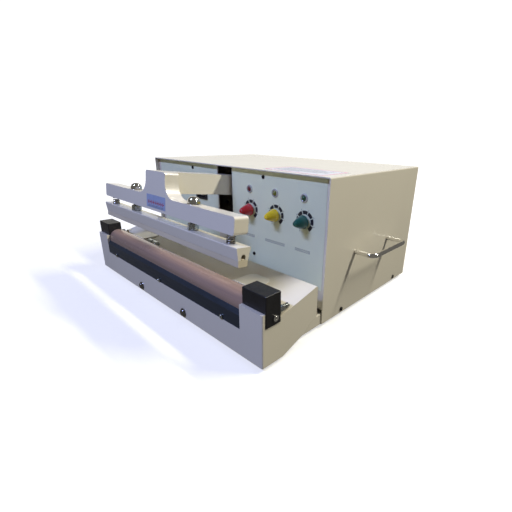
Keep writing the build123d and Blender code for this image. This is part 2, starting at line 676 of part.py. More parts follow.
KNOB_BACK = PANEL_Y - LABEL_T - 4.4
KNOB_L = 25.0
KNOB_BASE_R = 12.5
timer_knobs = {}
for name, x in zip(("cycle", "cooling", "sealing"), KNOB_X):
    with BuildPart() as timer_knob:
        with BuildSketch(Plane((x, KNOB_BACK, KNOB_Z), x_dir=(1, 0, 0), z_dir=(0, 0, 1))):
            with BuildLine():
                Polyline((0, 0), (KNOB_BASE_R, 0), (KNOB_BASE_R, -3.0))
                Spline(
                    (KNOB_BASE_R, -3.0),
                    (KNOB_BASE_R * 0.84, -10.0),
                    (KNOB_BASE_R * 0.58, -19.0),
                    (0, -KNOB_L),
                    tangents=((-0.1, -1), (-1, 0)),
                )
                Line((0, -KNOB_L), (0, 0))
            make_face()
        revolve(axis=Axis((x, KNOB_BACK, KNOB_Z), (0, 1, 0)))
        # the shaft that turns in the potentiometer's bush
        with Locations(Plane((x, KNOB_BACK, KNOB_Z), z_dir=(0, 1, 0))):
            Cylinder(POT_SHAFT_R, 9.0, align=(Align.CENTER, Align.CENTER, Align.MIN))
    timer_knobs[name] = timer_knob

with BuildPart() as lamp_bezels:
    for x in LAMP_X:
        with Locations(Plane((x, PANEL_Y - LABEL_T, LAMP_Z), z_dir=(0, -1, 0))):
            Cylinder(LAMP_BEZEL_R, 2.4, align=(Align.CENTER, Align.CENTER, Align.MIN))
            Cylinder(LAMP_BODY_R, 12.0, align=(Align.CENTER, Align.CENTER, Align.MAX))
            Hole(LENS_R + FIT, 20.0)

lamps = {}
for name, x in zip(("cycle", "cooling", "sealing"), LAMP_X):
    with BuildPart() as lamp:
        with Locations(Plane((x, PANEL_Y - LABEL_T, LAMP_Z), z_dir=(0, -1, 0))):
            Cylinder(LENS_R, 8.0, align=(Align.CENTER, Align.CENTER, Align.MAX))
            Cylinder(LENS_R, 2.6, align=(Align.CENTER, Align.CENTER, Align.MIN))
            with Locations((0, 0, 2.6)):
                Sphere(LENS_R, arc_size1=0)
    lamps[name] = lamp

SWITCH_FACE = PANEL_Y - LABEL_T
ROCKER_PIVOT_Y = SWITCH_FACE + 4.0
ROCKER_W = 29.0
ROCKER_PIN_R = 1.5
with BuildPart() as power_switch_body:
    with BuildSketch(facing(SWITCH_FACE)):
        with Locations((SWITCH_X, SWITCH_Z)):
            RectangleRounded(SWITCH_W, SWITCH_H, 4.0)
    extrude(amount=2.5)
    with BuildSketch(facing(SWITCH_FACE)):
        with Locations((SWITCH_X, SWITCH_Z)):
            Rectangle(SWITCH_W - 9.0, SWITCH_H - 7.0)
    extrude(amount=-24.0)
    with BuildSketch(facing(SWITCH_FACE - 2.5)):
        with Locations((SWITCH_X, SWITCH_Z)):
            Rectangle(ROCKER_W + 1.0, SWITCH_H - 9.0)
    extrude(amount=-18.0, mode=Mode.SUBTRACT)
    with BuildSketch(across(SWITCH_X - ROCKER_W / 2 - 2.5)):
        with Locations((ROCKER_PIVOT_Y, SWITCH_Z)):
            Circle(ROCKER_PIN_R + FIT)
    extrude(amount=ROCKER_W + 5.0, mode=Mode.SUBTRACT)

# The rocker turns about X on two stub pins in the body.
with BuildPart() as power_switch_rocker:
    with BuildSketch(across(SWITCH_X - ROCKER_W / 2)):
        with BuildLine():
            Polyline(
                (ROCKER_PIVOT_Y - 4.5, SWITCH_Z - 7.5),
                (ROCKER_PIVOT_Y + 3.0, SWITCH_Z - 6.5),
                (ROCKER_PIVOT_Y + 3.0, SWITCH_Z + 6.5),
                (ROCKER_PIVOT_Y - 7.5, SWITCH_Z + 7.5),
            )
            ThreePointArc(
                (ROCKER_PIVOT_Y - 7.5, SWITCH_Z + 7.5),
                (ROCKER_PIVOT_Y - 5.2, SWITCH_Z - 0.4),
                (ROCKER_PIVOT_Y - 4.5, SWITCH_Z - 7.5),
            )
        make_face()
    extrude(amount=ROCKER_W)
    with BuildSketch(across(SWITCH_X - ROCKER_W / 2 - 2.0)):
        with Locations((ROCKER_PIVOT_Y, SWITCH_Z)):
            Circle(ROCKER_PIN_R)
    extrude(amount=ROCKER_W + 4.0)

# ---------------------------------------------------------------- power train inside the cabinet
BRACKET_X = ARM_HALF + BRACKET_GAP
with BuildPart() as pivot_brackets:
    for side in (-1, 1):
        with BuildSketch(across(side * BRACKET_X)):
            with BuildLine():
                Polyline(
                    (PIVOT_Y - 26.0, PIVOT_Z),
                    (PIVOT_Y - 45.0, TRAY_TOP),
                    (PIVOT_Y + 36.0, TRAY_TOP),
                    (PIVOT_Y + 26.0, PIVOT_Z),
                )
                ThreePointArc(
                    (PIVOT_Y + 26.0, PIVOT_Z), (PIVOT_Y, PIVOT_Z + 26.0), (PIVOT_Y - 26.0, PIVOT_Z)
                )
            make_face()
            with Locations((PIVOT_Y, PIVOT_Z)):
                Circle(PIVOT_R, mode=Mode.SUBTRACT)
        extrude(amount=side * BRACKET_T)
        with BuildSketch(level(TRAY_TOP)):
            with Locations((side * (BRACKET_X + BRACKET_T + 12.0), PIVOT_Y - 4.5)):
                Rectangle(24.0, 81.0)
        extrude(amount=8.0)

with BuildPart() as pivot_shaft:
    shaft_half = BRACKET_X + BRACKET_T + 4.0
    with BuildSketch(across(-shaft_half)):
        with Locations((PIVOT_Y, PIVOT_Z)):
            Circle(PIVOT_R)
    extrude(amount=2 * shaft_half)
    chamfer(pivot_shaft.edges().filter_by(GeomType.CIRCLE), 1.0)

CAM_CENTRE = (PIVOT_Y + CAM_Y, PIVOT_Z + CAM_Z)
GEARBOX_X = ARM_HALF + 7.0
with BuildPart() as gear_motor:
    with BuildSketch(across(GEARBOX_X)):
        with Locations(CAM_CENTRE):
            RectangleRounded(76.0, 90.0, 8.0)
            Circle(CAM_SHAFT_R + FIT, mode=Mode.SUBTRACT)
    extrude(amount=46.0)
    with BuildSketch(across(GEARBOX_X + 46.0)):
        with Locations(CAM_CENTRE):
            Circle(32.0)
    extrude(amount=92.0)
    with BuildSketch(across(GEARBOX_X + 138.0)):
        with Locations(CAM_CENTRE):
            Circle(26.0)
    extrude(amount=10.0, taper=20)

with BuildPart() as motor_pedestal:
    pedestal_top = PIVOT_Z + CAM_Z - 45.0
    with BuildSketch(across(GEARBOX_X)):
        with BuildLine():
            Polyline(
                (CAM_CENTRE[0] - 38.0, pedestal_top),
                (CAM_CENTRE[0] - 38.0, TRAY_TOP),
                (CAM_CENTRE[0] + 38.0, TRAY_TOP),
                (CAM_CENTRE[0] + 38.0, pedestal_top),
                (CAM_CENTRE[0] + 34.0, pedestal_top),
                (CAM_CENTRE[0] + 34.0, TRAY_TOP + 4.0),
                (CAM_CENTRE[0] - 34.0, TRAY_TOP + 4.0),
                (CAM_CENTRE[0] - 34.0, pedestal_top),
                (CAM_CENTRE[0] - 38.0, pedestal_top),
            )
        make_face()
    extrude(amount=46.0)
    with BuildSketch(level(pedestal_top)):
        with Locations((GEARBOX_X + 23.0, CAM_CENTRE[0])):
            Rectangle(46.0, 76.0)
    extrude(amount=-4.0)


def roller_centre(shut_deg):
    """Roller centre (y, z) when the arm has closed by shut_deg from its open stop."""
    tip = radians(OPEN_DEG - shut_deg)
    return (
        PIVOT_Y + ROLLER_Y * cos(tip) + ROLLER_Z * sin(tip),
        PIVOT_Z - ROLLER_Y * sin(tip) + ROLLER_Z * cos(tip),
    )


# Heart cam: its radius grows evenly with its turn, so the arm's angle follows the cam's
# angle at one fixed ratio; the second half turn runs back along the same radii.
CAM_STEPS = 12
cam_points = []
for step in range(2 * CAM_STEPS):
    turned = CAM_TURN_DEG * step / CAM_STEPS
    shut = OPEN_DEG * (1 - abs(1 - turned / CAM_TURN_DEG))
    roller_y, roller_z = roller_centre(shut)
    reach_y = roller_y - CAM_CENTRE[0]
    reach_z = roller_z - CAM_CENTRE[1]
    radius = hypot(reach_y, reach_z) - ROLLER_R - CAM_GAP
    angle = atan2(reach_z, reach_y) - radians(turned)
    cam_points.append(
        (CAM_CENTRE[0] + radius * cos(angle), CAM_CENTRE[1] + radius * sin(angle))
    )
with BuildPart() as press_cam:
    with BuildSketch(across(-CAM_W / 2)):
        with BuildLine():
            Spline(*cam_points, periodic=True)
        make_face()
    extrude(amount=CAM_W)
    with BuildSketch(across(-CAM_W / 2 - 5.0)):
        with Locations(CAM_CENTRE):
            Circle(13.0)
    extrude(amount=CAM_W + 10.0)
    with BuildSketch(across(-CAM_W)):
        with Locations(CAM_CENTRE):
            Circle(CAM_SHAFT_R)
    extrude(amount=2 * CAM_W, mode=Mode.SUBTRACT)

with BuildPart() as cam_shaft:
    with BuildSketch(across(-CAM_W / 2 - 8.0)):
        with Locations(CAM_CENTRE):
            Circle(CAM_SHAFT_R)
    extrude(amount=CAM_W / 2 + 8.0 + GEARBOX_X + 30.0)

# ---------------------------------------------------------------- arm and head
BEAM_FRONT = HEAD_FRONT + HEAD_D
with BuildPart() as arm_casting:
    # crossbar with the central boss, seen from the front
    with BuildSketch(ARM_FRONT.offset(-HEAD_FRONT)):
        with BuildLine():
            Polyline(
                (-CROSSBAR_HALF, CROSSBAR_BOTTOM),
                (-CROSSBAR_HALF, CROSSBAR_TOP),
                (-BOSS_HALF, CROSSBAR_TOP),
                (-BOSS_HALF, BOSS_TOP),
                (BOSS_HALF, BOSS_TOP),
                (BOSS_HALF, CROSSBAR_TOP),
                (CROSSBAR_HALF, CROSSBAR_TOP),
                (CROSSBAR_HALF, CROSSBAR_BOTTOM),
                (-CROSSBAR_HALF, CROSSBAR_BOTTOM),
            )
        make_face()
        waist = [v for v in vertices() if abs(abs(v.X) - BOSS_HALF) < 1 and v.Y < BOSS_TOP - 1]
        fillet(waist, BOSS_FILLET)
        rims = [v for v in vertices() if abs(abs(v.X) - CROSSBAR_HALF) < 1]
        fillet(rims + [v for v in vertices() if abs(v.Y - BOSS_TOP) < 0.1], 5.0)
    extrude(amount=-HEAD_D)
    # beam from the head back over the pivot to the roller fork
    with BuildSketch(ARM_SIDE.offset(-ARM_HALF)):
        with BuildLine():
            Polyline(
                (BEAM_FRONT - 1.0, BOSS_TOP),
                (30.0, BOSS_TOP + 3.0),
                (ROLLER_Y + 10.0, 4.0),
                (ROLLER_Y + 10.0, ROLLER_Z - 6.0),
                (30.0, -22.0),
                (BEAM_FRONT - 1.0, -20.0),
                (BEAM_FRONT - 1.0, BOSS_TOP),
            )
        make_face()
    extrude(amount=2 * ARM_HALF)
    with BuildSketch(ARM_TOP.offset(-60.0)):
        with Locations((0, ROLLER_Y)):
            Rectangle(ROLLER_W + 2.0, 46.0)
    extrude(amount=120.0, mode=Mode.SUBTRACT)
    with BuildSketch(ARM_SIDE.offset(-ARM_HALF)):
        Circle(PIVOT_R + 3.0)
        with Locations((ROLLER_Y, ROLLER_Z)):
            Circle(ROLLER_PIN_R)
    extrude(amount=2 * ARM_HALF, mode=Mode.SUBTRACT)
    # guide bores for the jaw studs
    with BuildSketch(ARM_TOP.offset(CROSSBAR_BOTTOM)):
        with Locations((-STUD_X, JAW_MID_Y), (STUD_X, JAW_MID_Y)):
            Circle(STUD_R + 0.08)
    extrude(amount=60.0, mode=Mode.SUBTRACT)

with BuildPart() as pivot_bushes:
    for side in (-1, 1):
        with BuildSketch(ARM_SIDE.offset(side * ARM_HALF)):
            Circle(PIVOT_R + 3.0)
            Circle(PIVOT_R + FIT, mode=Mode.SUBTRACT)
        extrude(amount=-side * (ARM_HALF - 1.0))
        with BuildSketch(ARM_SIDE.offset(side * ARM_HALF)):
            Circle(PIVOT_R + 6.0)
            Circle(PIVOT_R + FIT, mode=Mode.SUBTRACT)
        extrude(amount=side * (BRACKET_GAP - 0.3))

with BuildPart() as follower_roller:
    with BuildSketch(ARM_SIDE.offset(-ROLLER_W / 2)):
        with Locations((ROLLER_Y, ROLLER_Z)):
            Circle(ROLLER_R)
            Circle(ROLLER_PIN_R + FIT, mode=Mode.SUBTRACT)
    extrude(amount=ROLLER_W)
    chamfer(follower_roller.edges().filter_by(GeomType.CIRCLE).group_by(SortBy.RADIUS)[-1], 0.8)

# The return spring hangs between a pin on the arm, behind the pivot, and a hook on the tray.
SPRING_Y = 48.0
SPRING_X = -(BRACKET_X + BRACKET_T + 14.0)
SPRING_ARM_Z = -10.0
SPRING_PIN_R = 4.0
SPRING_WORLD_Y = PIVOT_Y + SPRING_Y * cos(TIP) + SPRING_ARM_Z * sin(TIP)
SPRING_WORLD_Z = PIVOT_Z - SPRING_Y * sin(TIP) + SPRING_ARM_Z * cos(TIP)
SPRING_HOOK_Z = TRAY_TOP + 30.0
# pins fixed in the arm: the roller's axle and the spring's upper anchor
with BuildPart() as arm_pins:
    with BuildSketch(ARM_SIDE.offset(-ARM_HALF - 1.5)):
        with Locations((ROLLER_Y, ROLLER_Z)):
            Circle(ROLLER_PIN_R)
    extrude(amount=2 * ARM_HALF + 3.0)
    with BuildSketch(ARM_SIDE.offset(-ARM_HALF)):
        with Locations((SPRING_Y, SPRING_ARM_Z)):
            Circle(SPRING_PIN_R)
    extrude(amount=SPRING_X + ARM_HALF - 8.0)
    with BuildSketch(ARM_SIDE.offset(SPRING_X - 5.0)):
        with Locations((SPRING_Y, SPRING_ARM_Z)):
            Circle(6.5)
    extrude(amount=-3.0)

with BuildPart() as spring_hook:
    with BuildSketch(across(SPRING_X - 1.5)):
        with BuildLine():
            Polyline(
                (SPRING_WORLD_Y - 9.0, TRAY_TOP),
                (SPRING_WORLD_Y + 9.0, TRAY_TOP),
                (SPRING_WORLD_Y + 7.0, SPRING_HOOK_Z + 7.0),
                (SPRING_WORLD_Y - 7.0, SPRING_HOOK_Z + 7.0),
                (SPRING_WORLD_Y - 9.0, TRAY_TOP),
            )
        make_face()
        with Locations((SPRING_WORLD_Y, SPRING_HOOK_Z)):
            Circle(3.2, mode=Mode.SUBTRACT)
    extrude(amount=3.0)
    with BuildSketch(level(TRAY_TOP)):
        with Locations((SPRING_X, SPRING_WORLD_Y)):
            Rectangle(26.0, 18.0)
    extrude(amount=3.0)

# ---------------------------------------------------------------- sprung sealing jaw
KEYWAY_R = 4.2
KEYWAY_RISE = 5.0
STUD_FOOT = JAW_BOTTOM + KEYWAY_RISE + KEYWAY_R
with BuildPart() as sealing_jaw:
    with BuildSketch(ARM_SIDE.offset(-JAW_HALF)):
        with BuildLine():
            Polyline(
                (JAW_MID_Y - JAW_TOP_D / 2, JAW_TOP),
                (JAW_MID_Y + JAW_TOP_D / 2, JAW_TOP),
                (JAW_MID_Y + JAW_BOTTOM_D / 2, JAW_BOTTOM),
                (JAW_MID_Y - JAW_BOTTOM_D / 2, JAW_BOTTOM),
                (JAW_MID_Y - JAW_TOP_D / 2, JAW_TOP),
            )
        make_face()
        fillet(vertices().group_by(Axis.Y)[-1], 1.5)
    extrude(amount=2 * JAW_HALF)
    # pegs that locate the two jaw springs
    with BuildSketch(ARM_TOP.offset(JAW_TOP)):
        with Locations((-JAW_SPRING_X, JAW_MID_Y), (JAW_SPRING_X, JAW_MID_Y)):
            Circle(4.0)
    extrude(amount=9.0)
    with BuildSketch(ARM_TOP.offset(STUD_FOOT)):
        with Locations((-STUD_X, JAW_MID_Y), (STUD_X, JAW_MID_Y)):
            Circle(STUD_R)
    extrude(amount=30.0, mode=Mode.SUBTRACT)
    # arched keyway along the jaw that the silicone is drawn into
    with BuildSketch(ARM_SIDE.offset(-JAW_HALF)):
        with Locations((JAW_MID_Y, JAW_BOTTOM + KEYWAY_RISE)):
            Circle(KEYWAY_R)
        with Locations((JAW_MID_Y, JAW_BOTTOM)):
            Rectangle(2 * KEYWAY_R, 2 * KEYWAY_RISE)
    extrude(amount=2 * JAW_HALF, mode=Mode.SUBTRACT)

with BuildPart() as silicone_strip:
    with BuildSketch(ARM_SIDE.offset(-JAW_HALF)):
        with Locations((JAW_MID_Y, (JAW_BOTTOM + SILICONE_BOTTOM) / 2)):
            Rectangle(SILICONE_W, JAW_BOTTOM - SILICONE_BOTTOM)
        fillet(vertices().group_by(Axis.Y)[0], 1.5)
        with Locations((JAW_MID_Y, JAW_BOTTOM)):
            Rectangle(6.0, 4.0)
    extrude(amount=2 * JAW_HALF)

NUT_HEX_TOP = 8.6
with BuildPart() as jaw_studs:
    with BuildSketch(ARM_TOP.offset(STUD_FOOT)):
        with Locations((-STUD_X, JAW_MID_Y), (STUD_X, JAW_MID_Y)):
            Circle(STUD_R)
    extrude(amount=CROSSBAR_TOP + NUT_HEX_TOP - 0.6 - STUD_FOOT)

with BuildPart() as jaw_lock_nuts:
    for x in (-STUD_X, STUD_X):
        with BuildSketch(ARM_TOP.offset(JAW_TOP)):
            with Locations((x, JAW_MID_Y)):
                RegularPolygon(9.8, 6)
                Circle(STUD_R + FIT, mode=Mode.SUBTRACT)
        extrude(amount=11.5)

with BuildPart() as acorn_nuts:
    for x in (-STUD_X, STUD_X):
        with BuildSketch(ARM_TOP.offset(CROSSBAR_TOP)):
            with Locations((x, JAW_MID_Y)):
                Circle(11.5)
        extrude(amount=1.6)
        with BuildSketch(ARM_TOP.offset(CROSSBAR_TOP + 1.6)):
            with Locations((x, JAW_MID_Y)):
                RegularPolygon(10.8, 6)
        extrude(amount=NUT_HEX_TOP - 1.6)
        nut_place = ARM_TOP.from_local_coords((x, JAW_MID_Y, CROSSBAR_TOP))
        nut_seat = Plane(nut_place, ARM_TOP.x_dir, ARM_TOP.z_dir)
        with Locations(nut_seat.offset(NUT_HEX_TOP)):
            Sphere(9.2, arc_size1=0)
        with Locations(nut_seat):
            Cylinder(
                STUD_R + FIT,
                NUT_HEX_TOP,
                align=(Align.CENTER, Align.CENTER, Align.MIN),
                mode=Mode.SUBTRACT,
            )

JAW_SPRING_R = 6.3
JAW_SPRING_WIRE_R = 1.1
with BuildPart() as jaw_springs:
    for x in (-JAW_SPRING_X, JAW_SPRING_X):
        foot = Plane(
            ARM_TOP.from_local_coords((x, JAW_MID_Y, JAW_TOP + JAW_SPRING_WIRE_R + 0.1)),
            ARM_TOP.x_dir,
            ARM_TOP.z_dir,
        )
        with BuildLine(foot):
            coil = Helix(
                pitch=3.4,
                height=CROSSBAR_BOTTOM - JAW_TOP - 2 * JAW_SPRING_WIRE_R - 0.2,
                radius=JAW_SPRING_R,
            )
        with BuildSketch(Plane(coil @ 0, z_dir=coil % 0)):
            Circle(JAW_SPRING_WIRE_R)
        sweep(path=coil, is_frenet=True)

# Extension spring: a close coil with a stem and an eye at each end, on the coil's axis.
SPRING_R = 9.0
SPRING_WIRE_R = 1.6
SPRING_TURNS = 22
TOP_EYE_R = SPRING_PIN_R + SPRING_WIRE_R + 0.4
HOOK_EYE_R = 5.0
COIL_BOTTOM = SPRING_HOOK_Z + 2 * HOOK_EYE_R + 4.0
COIL_TOP = SPRING_WORLD_Z - TOP_EYE_R - 6.0
with BuildPart() as return_spring:
    with BuildLine(Plane((SPRING_X, SPRING_WORLD_Y, COIL_BOTTOM))):
        coil = Helix(
            pitch=(COIL_TOP - COIL_BOTTOM) / SPRING_TURNS,
            height=COIL_TOP - COIL_BOTTOM,
            radius=SPRING_R,
        )
    with BuildSketch(Plane(coil @ 0, z_dir=coil % 0)):
        Circle(SPRING_WIRE_R)
    sweep(path=coil, is_frenet=True)
    for coil_end, eye_z, eye_r, eye_axis in (
        (COIL_TOP, SPRING_WORLD_Z, -TOP_EYE_R, (1, 0, 0)),
        (COIL_BOTTOM, SPRING_HOOK_Z + HOOK_EYE_R, HOOK_EYE_R, (0, 1, 0)),
    ):
        with Locations(Plane((SPRING_X + SPRING_R / 2, SPRING_WORLD_Y, coil_end), z_dir=(1, 0, 0))):
            Cylinder(SPRING_WIRE_R, SPRING_R)
        stem_end = eye_z + eye_r
        with Locations((SPRING_X, SPRING_WORLD_Y, (coil_end + stem_end) / 2)):
            Cylinder(SPRING_WIRE_R, abs(coil_end - stem_end) + SPRING_WIRE_R)
        with Locations(Plane((SPRING_X, SPRING_WORLD_Y, eye_z), z_dir=eye_axis)):
            Torus(abs(eye_r), SPRING_WIRE_R)

# ---------------------------------------------------------------- electrical parts on the tray
TRANSFORMER = (-180.0, LIP + 150.0)
with BuildPart() as transformer_core:
    with BuildSketch(facing(TRANSFORMER[1] - 28.0)):
        with Locations((TRANSFORMER[0], TRAY_TOP + 50.0)):
            Rectangle(120.0, 100.0)
        for side in (-1, 1):
            with Locations((TRANSFORMER[0] + side * 30.0, TRAY_TOP + 50.0)):
                Rectangle(20.0, 60.0, mode=Mode.SUBTRACT)
    extrude(amount=-56.0)

with BuildPart() as transformer_winding:
    with BuildSketch(level(TRAY_TOP + 21.0)):
        with Locations(TRANSFORMER):
            RectangleRounded(78.0, 92.0, 10.0)
            Rectangle(41.0, 57.0, mode=Mode.SUBTRACT)
    extrude(amount=58.0)

CAPACITOR_X = 130.0
CAPACITOR_Y = LIP + 70.0
with BuildPart() as motor_capacitor:
    with Locations((CAPACITOR_X, CAPACITOR_Y, TRAY_TOP)):
        Cylinder(20.0, 70.0, align=(Align.CENTER, Align.CENTER, Align.MIN))
    fillet(motor_capacitor.faces().sort_by(Axis.Z)[-1].edges(), 3.0)
    with Locations(*[(CAPACITOR_X + dx, CAPACITOR_Y, TRAY_TOP + 70.0) for dx in (-7.0, 7.0)]):
        Box(1.0, 6.3, 9.0, align=(Align.CENTER, Align.CENTER, Align.MIN))

with BuildPart() as heat_contactor:
    with BuildSketch(level(TRAY_TOP)):
        with Locations((200.0, LIP + 110.0)):
            Rectangle(46.0, 70.0)
    extrude(amount=50.0)
    with BuildSketch(level(TRAY_TOP + 50.0)):
        with Locations((200.0, LIP + 110.0)):
            Rectangle(46.0, 44.0)
    extrude(amount=26.0)
    with BuildSketch(level(TRAY_TOP + 50.0)):
        with Locations((200.0, LIP + 110.0)):
            with GridLocations(14.0, 56.0, 3, 2):
                Circle(3.4)
    extrude(amount=-4.0, mode=Mode.SUBTRACT)

SWITCH_CAM_Y = CAM_CENTRE[0] + 40.0
with BuildPart() as limit_switch:
    with BuildSketch(across(-CAM_W / 2 - 3.0)):
        with Locations((SWITCH_CAM_Y, CAM_CENTRE[1] - 30.0)):
            Rectangle(10.0, 28.0)
    extrude(amount=CAM_W / 2 + 4.0)
    with BuildSketch(across(-CAM_W / 2 + 1.0)):
        with Locations((SWITCH_CAM_Y, (CAM_CENTRE[1] - 44.0 + TRAY_TOP) / 2)):
            Rectangle(8.0, CAM_CENTRE[1] - 44.0 - TRAY_TOP)
    extrude(amount=3.0)

# ---------------------------------------------------------------- write every piece
pieces = {
    "base_tray": base_tray,
    "base_rails": base_rails,
    "rubber_feet": rubber_feet,
    "bed_casting": bed_casting,
    "apron_bolts": apron_bolts,
    "bolster_bar": bolster_bar,
    "insulation_tape": insulation_tape,
    "heating_element": heating_element,
    "ptfe_cover": ptfe_cover,
    "front_strip": front_strip,
    "strip_screws": strip_screws,
    "end_blocks": end_blocks,
    "end_block_screws": end_block_screws,
    "tension_screws": tension_screws,
    "element_terminals": element_terminals,
    "cabinet_cover": cabinet_cover,
    "cover_screws": cover_screws,
    "rear_panel": rear_panel,
    "front_panel": front_panel,
    "control_labels": control_labels,
    "panel_screws": panel_screws,
    "side_handles": side_handles,
    "handle_nuts": handle_nuts,
    "power_inlet": power_inlet,
    "fuse_holder": fuse_holder,
    "pedal_socket": pedal_socket,
    "timer_board": timer_board,
    "timer_potentiometers": timer_potentiometers,
    "timer_knob_cycle": timer_knobs["cycle"],
    "timer_knob_cooling": timer_knobs["cooling"],
    "timer_knob_sealing": timer_knobs["sealing"],
    "lamp_bezels": lamp_bezels,
    "lamp_cycle": lamps["cycle"],
    "lamp_cooling": lamps["cooling"],
    "lamp_sealing": lamps["sealing"],
    "power_switch_body": power_switch_body,
    "power_switch_rocker": power_switch_rocker,
    "pivot_brackets": pivot_brackets,
    "pivot_shaft": pivot_shaft,
    "gear_motor": gear_motor,
    "motor_pedestal": motor_pedestal,
    "press_cam": press_cam,
    "cam_shaft": cam_shaft,
    "arm_casting": arm_casting,
    "pivot_bushes": pivot_bushes,
    "follower_roller": follower_roller,
    "arm_pins": arm_pins,
    "spring_hook": spring_hook,
    "return_spring": return_spring,
    "sealing_jaw": sealing_jaw,
    "silicone_strip": silicone_strip,
    "jaw_studs": jaw_studs,
    "jaw_lock_nuts": jaw_lock_nuts,
    "acorn_nuts": acorn_nuts,
    "jaw_springs": jaw_springs,
    "transformer_core": transformer_core,
    "transformer_winding": transformer_winding,
    "motor_capacitor": motor_capacitor,
    "heat_contactor": heat_contactor,
    "limit_switch": limit_switch,
}
os.makedirs("parts", exist_ok=True)
for label, piece in pieces.items():
    piece.part.label = label
    export_step(piece.part, f"parts/{label}.step")
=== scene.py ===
import json
import math

import bmesh
import bpy
from mathutils import Matrix, Vector


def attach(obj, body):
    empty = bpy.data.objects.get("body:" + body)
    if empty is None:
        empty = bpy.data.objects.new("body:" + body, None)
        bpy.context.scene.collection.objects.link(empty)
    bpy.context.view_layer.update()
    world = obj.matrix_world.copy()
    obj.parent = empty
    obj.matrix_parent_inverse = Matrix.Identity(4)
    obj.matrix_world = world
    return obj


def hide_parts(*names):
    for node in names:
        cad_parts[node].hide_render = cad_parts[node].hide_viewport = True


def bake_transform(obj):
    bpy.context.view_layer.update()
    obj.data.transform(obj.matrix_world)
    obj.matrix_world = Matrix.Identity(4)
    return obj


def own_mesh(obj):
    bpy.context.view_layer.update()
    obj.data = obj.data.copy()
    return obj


# Looks for an automatic jaw-type impulse heat sealer. Metres, in the CAD model's own frame:
# +Z up, +X to the operator's right, front at -Y, origin on the table. The arm stands open.

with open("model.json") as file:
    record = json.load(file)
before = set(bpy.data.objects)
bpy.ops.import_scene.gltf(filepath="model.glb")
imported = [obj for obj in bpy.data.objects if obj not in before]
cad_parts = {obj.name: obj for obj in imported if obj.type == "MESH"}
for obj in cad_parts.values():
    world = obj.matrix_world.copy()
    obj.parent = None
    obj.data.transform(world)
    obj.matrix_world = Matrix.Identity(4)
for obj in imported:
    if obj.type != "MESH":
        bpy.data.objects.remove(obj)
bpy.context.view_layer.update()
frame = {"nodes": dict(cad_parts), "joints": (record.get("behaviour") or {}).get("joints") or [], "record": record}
MM = 0.001


# ---------------------------------------------------------------- the frame's places
def span(node, place=Matrix.Identity(4), side=0):
    """Lowest and highest corner of a CAD node in the frame `place`; side keeps its -x or +x half."""
    inverse = place.inverted()
    points = [inverse @ v.co for v in frame["nodes"][node].data.vertices]
    points = [p for p in points if side == 0 or p.x * side > 0]
    low = Vector([min(p[axis] for p in points) for axis in range(3)])
    high = Vector([max(p[axis] for p in points) for axis in range(3)])
    return low, high


def middle(node, place=Matrix.Identity(4), side=0):
    low, high = span(node, place, side)
    return (low + high) / 2


def facing(origin, out, right=(1, 0, 0)):
    """Frame whose z points along `out` and whose x is as near to `right` as that allows."""
    z = Vector(out).normalized()
    x = Vector(right)
    x = (x - z * x.dot(z)).normalized()
    y = z.cross(x)
    turned = Matrix((x, y, z)).transposed().to_4x4()
    return Matrix.Translation(Vector(origin)) @ turned


def joint_facts(name):
    return next(joint for joint in frame["joints"] if joint["name"] == name)


# The arm's own frame: level when the jaw is shut, tipped back at rest.
hinge = joint_facts("arm_hinge")
ARM = Matrix.Translation(Vector(hinge["pos_m"])) @ Matrix.Rotation(
    -math.radians(hinge["range_deg"][1]), 4, "X"
)
FRONT = (0, -1, 0)
UP = (0, 0, 1)
ARM_UP = ARM.to_3x3() @ Vector(UP)
ARM_FRONT = ARM.to_3x3() @ Vector(FRONT)


# ---------------------------------------------------------------- materials
def link(tree, source, target):
    tree.links.new(source, target)


def noise(tree, coords, scale, detail=4.0, rough=0.55):
    node = tree.nodes.new("ShaderNodeTexNoise")
    node.inputs["Scale"].default_value = scale
    node.inputs["Detail"].default_value = detail
    node.inputs["Roughness"].default_value = rough
    link(tree, coords, node.inputs["Vector"])
    return node.outputs["Fac"]


def spread(tree, value, low, high, start=0.3, end=0.7):
    """Maps a noise value from start..end to low..high."""
    node = tree.nodes.new("ShaderNodeMapRange")
    node.inputs["From Min"].default_value = start
    node.inputs["From Max"].default_value = end
    node.inputs["To Min"].default_value = low
    node.inputs["To Max"].default_value = high
    link(tree, value, node.inputs["Value"])
    return node.outputs["Result"]


def blend_colors(tree, factor, first, second, mode="MIX"):
    """Mixes two colours; each is a socket or an (r, g, b)."""
    node = tree.nodes.new("ShaderNodeMix")
    node.data_type = "RGBA"
    node.blend_type = mode
    for slot, value in ((0, factor), (6, first), (7, second)):
        if isinstance(value, bpy.types.NodeSocket):
            link(tree, value, node.inputs[slot])
        elif slot == 0:
            node.inputs[slot].default_value = value
        else:
            node.inputs[slot].default_value = (*value, 1.0)
    return node.outputs[2]


def multiply(tree, first, second):
    node = tree.nodes.new("ShaderNodeMath")
    node.operation = "MULTIPLY"
    for slot, value in ((0, first), (1, second)):
        if isinstance(value, bpy.types.NodeSocket):
            link(tree, value, node.inputs[slot])
        else:
            node.inputs[slot].default_value = value
    return node.outputs[0]


def shaded(color, factor):
    return tuple(min(1.0, channel * factor) for channel in color)


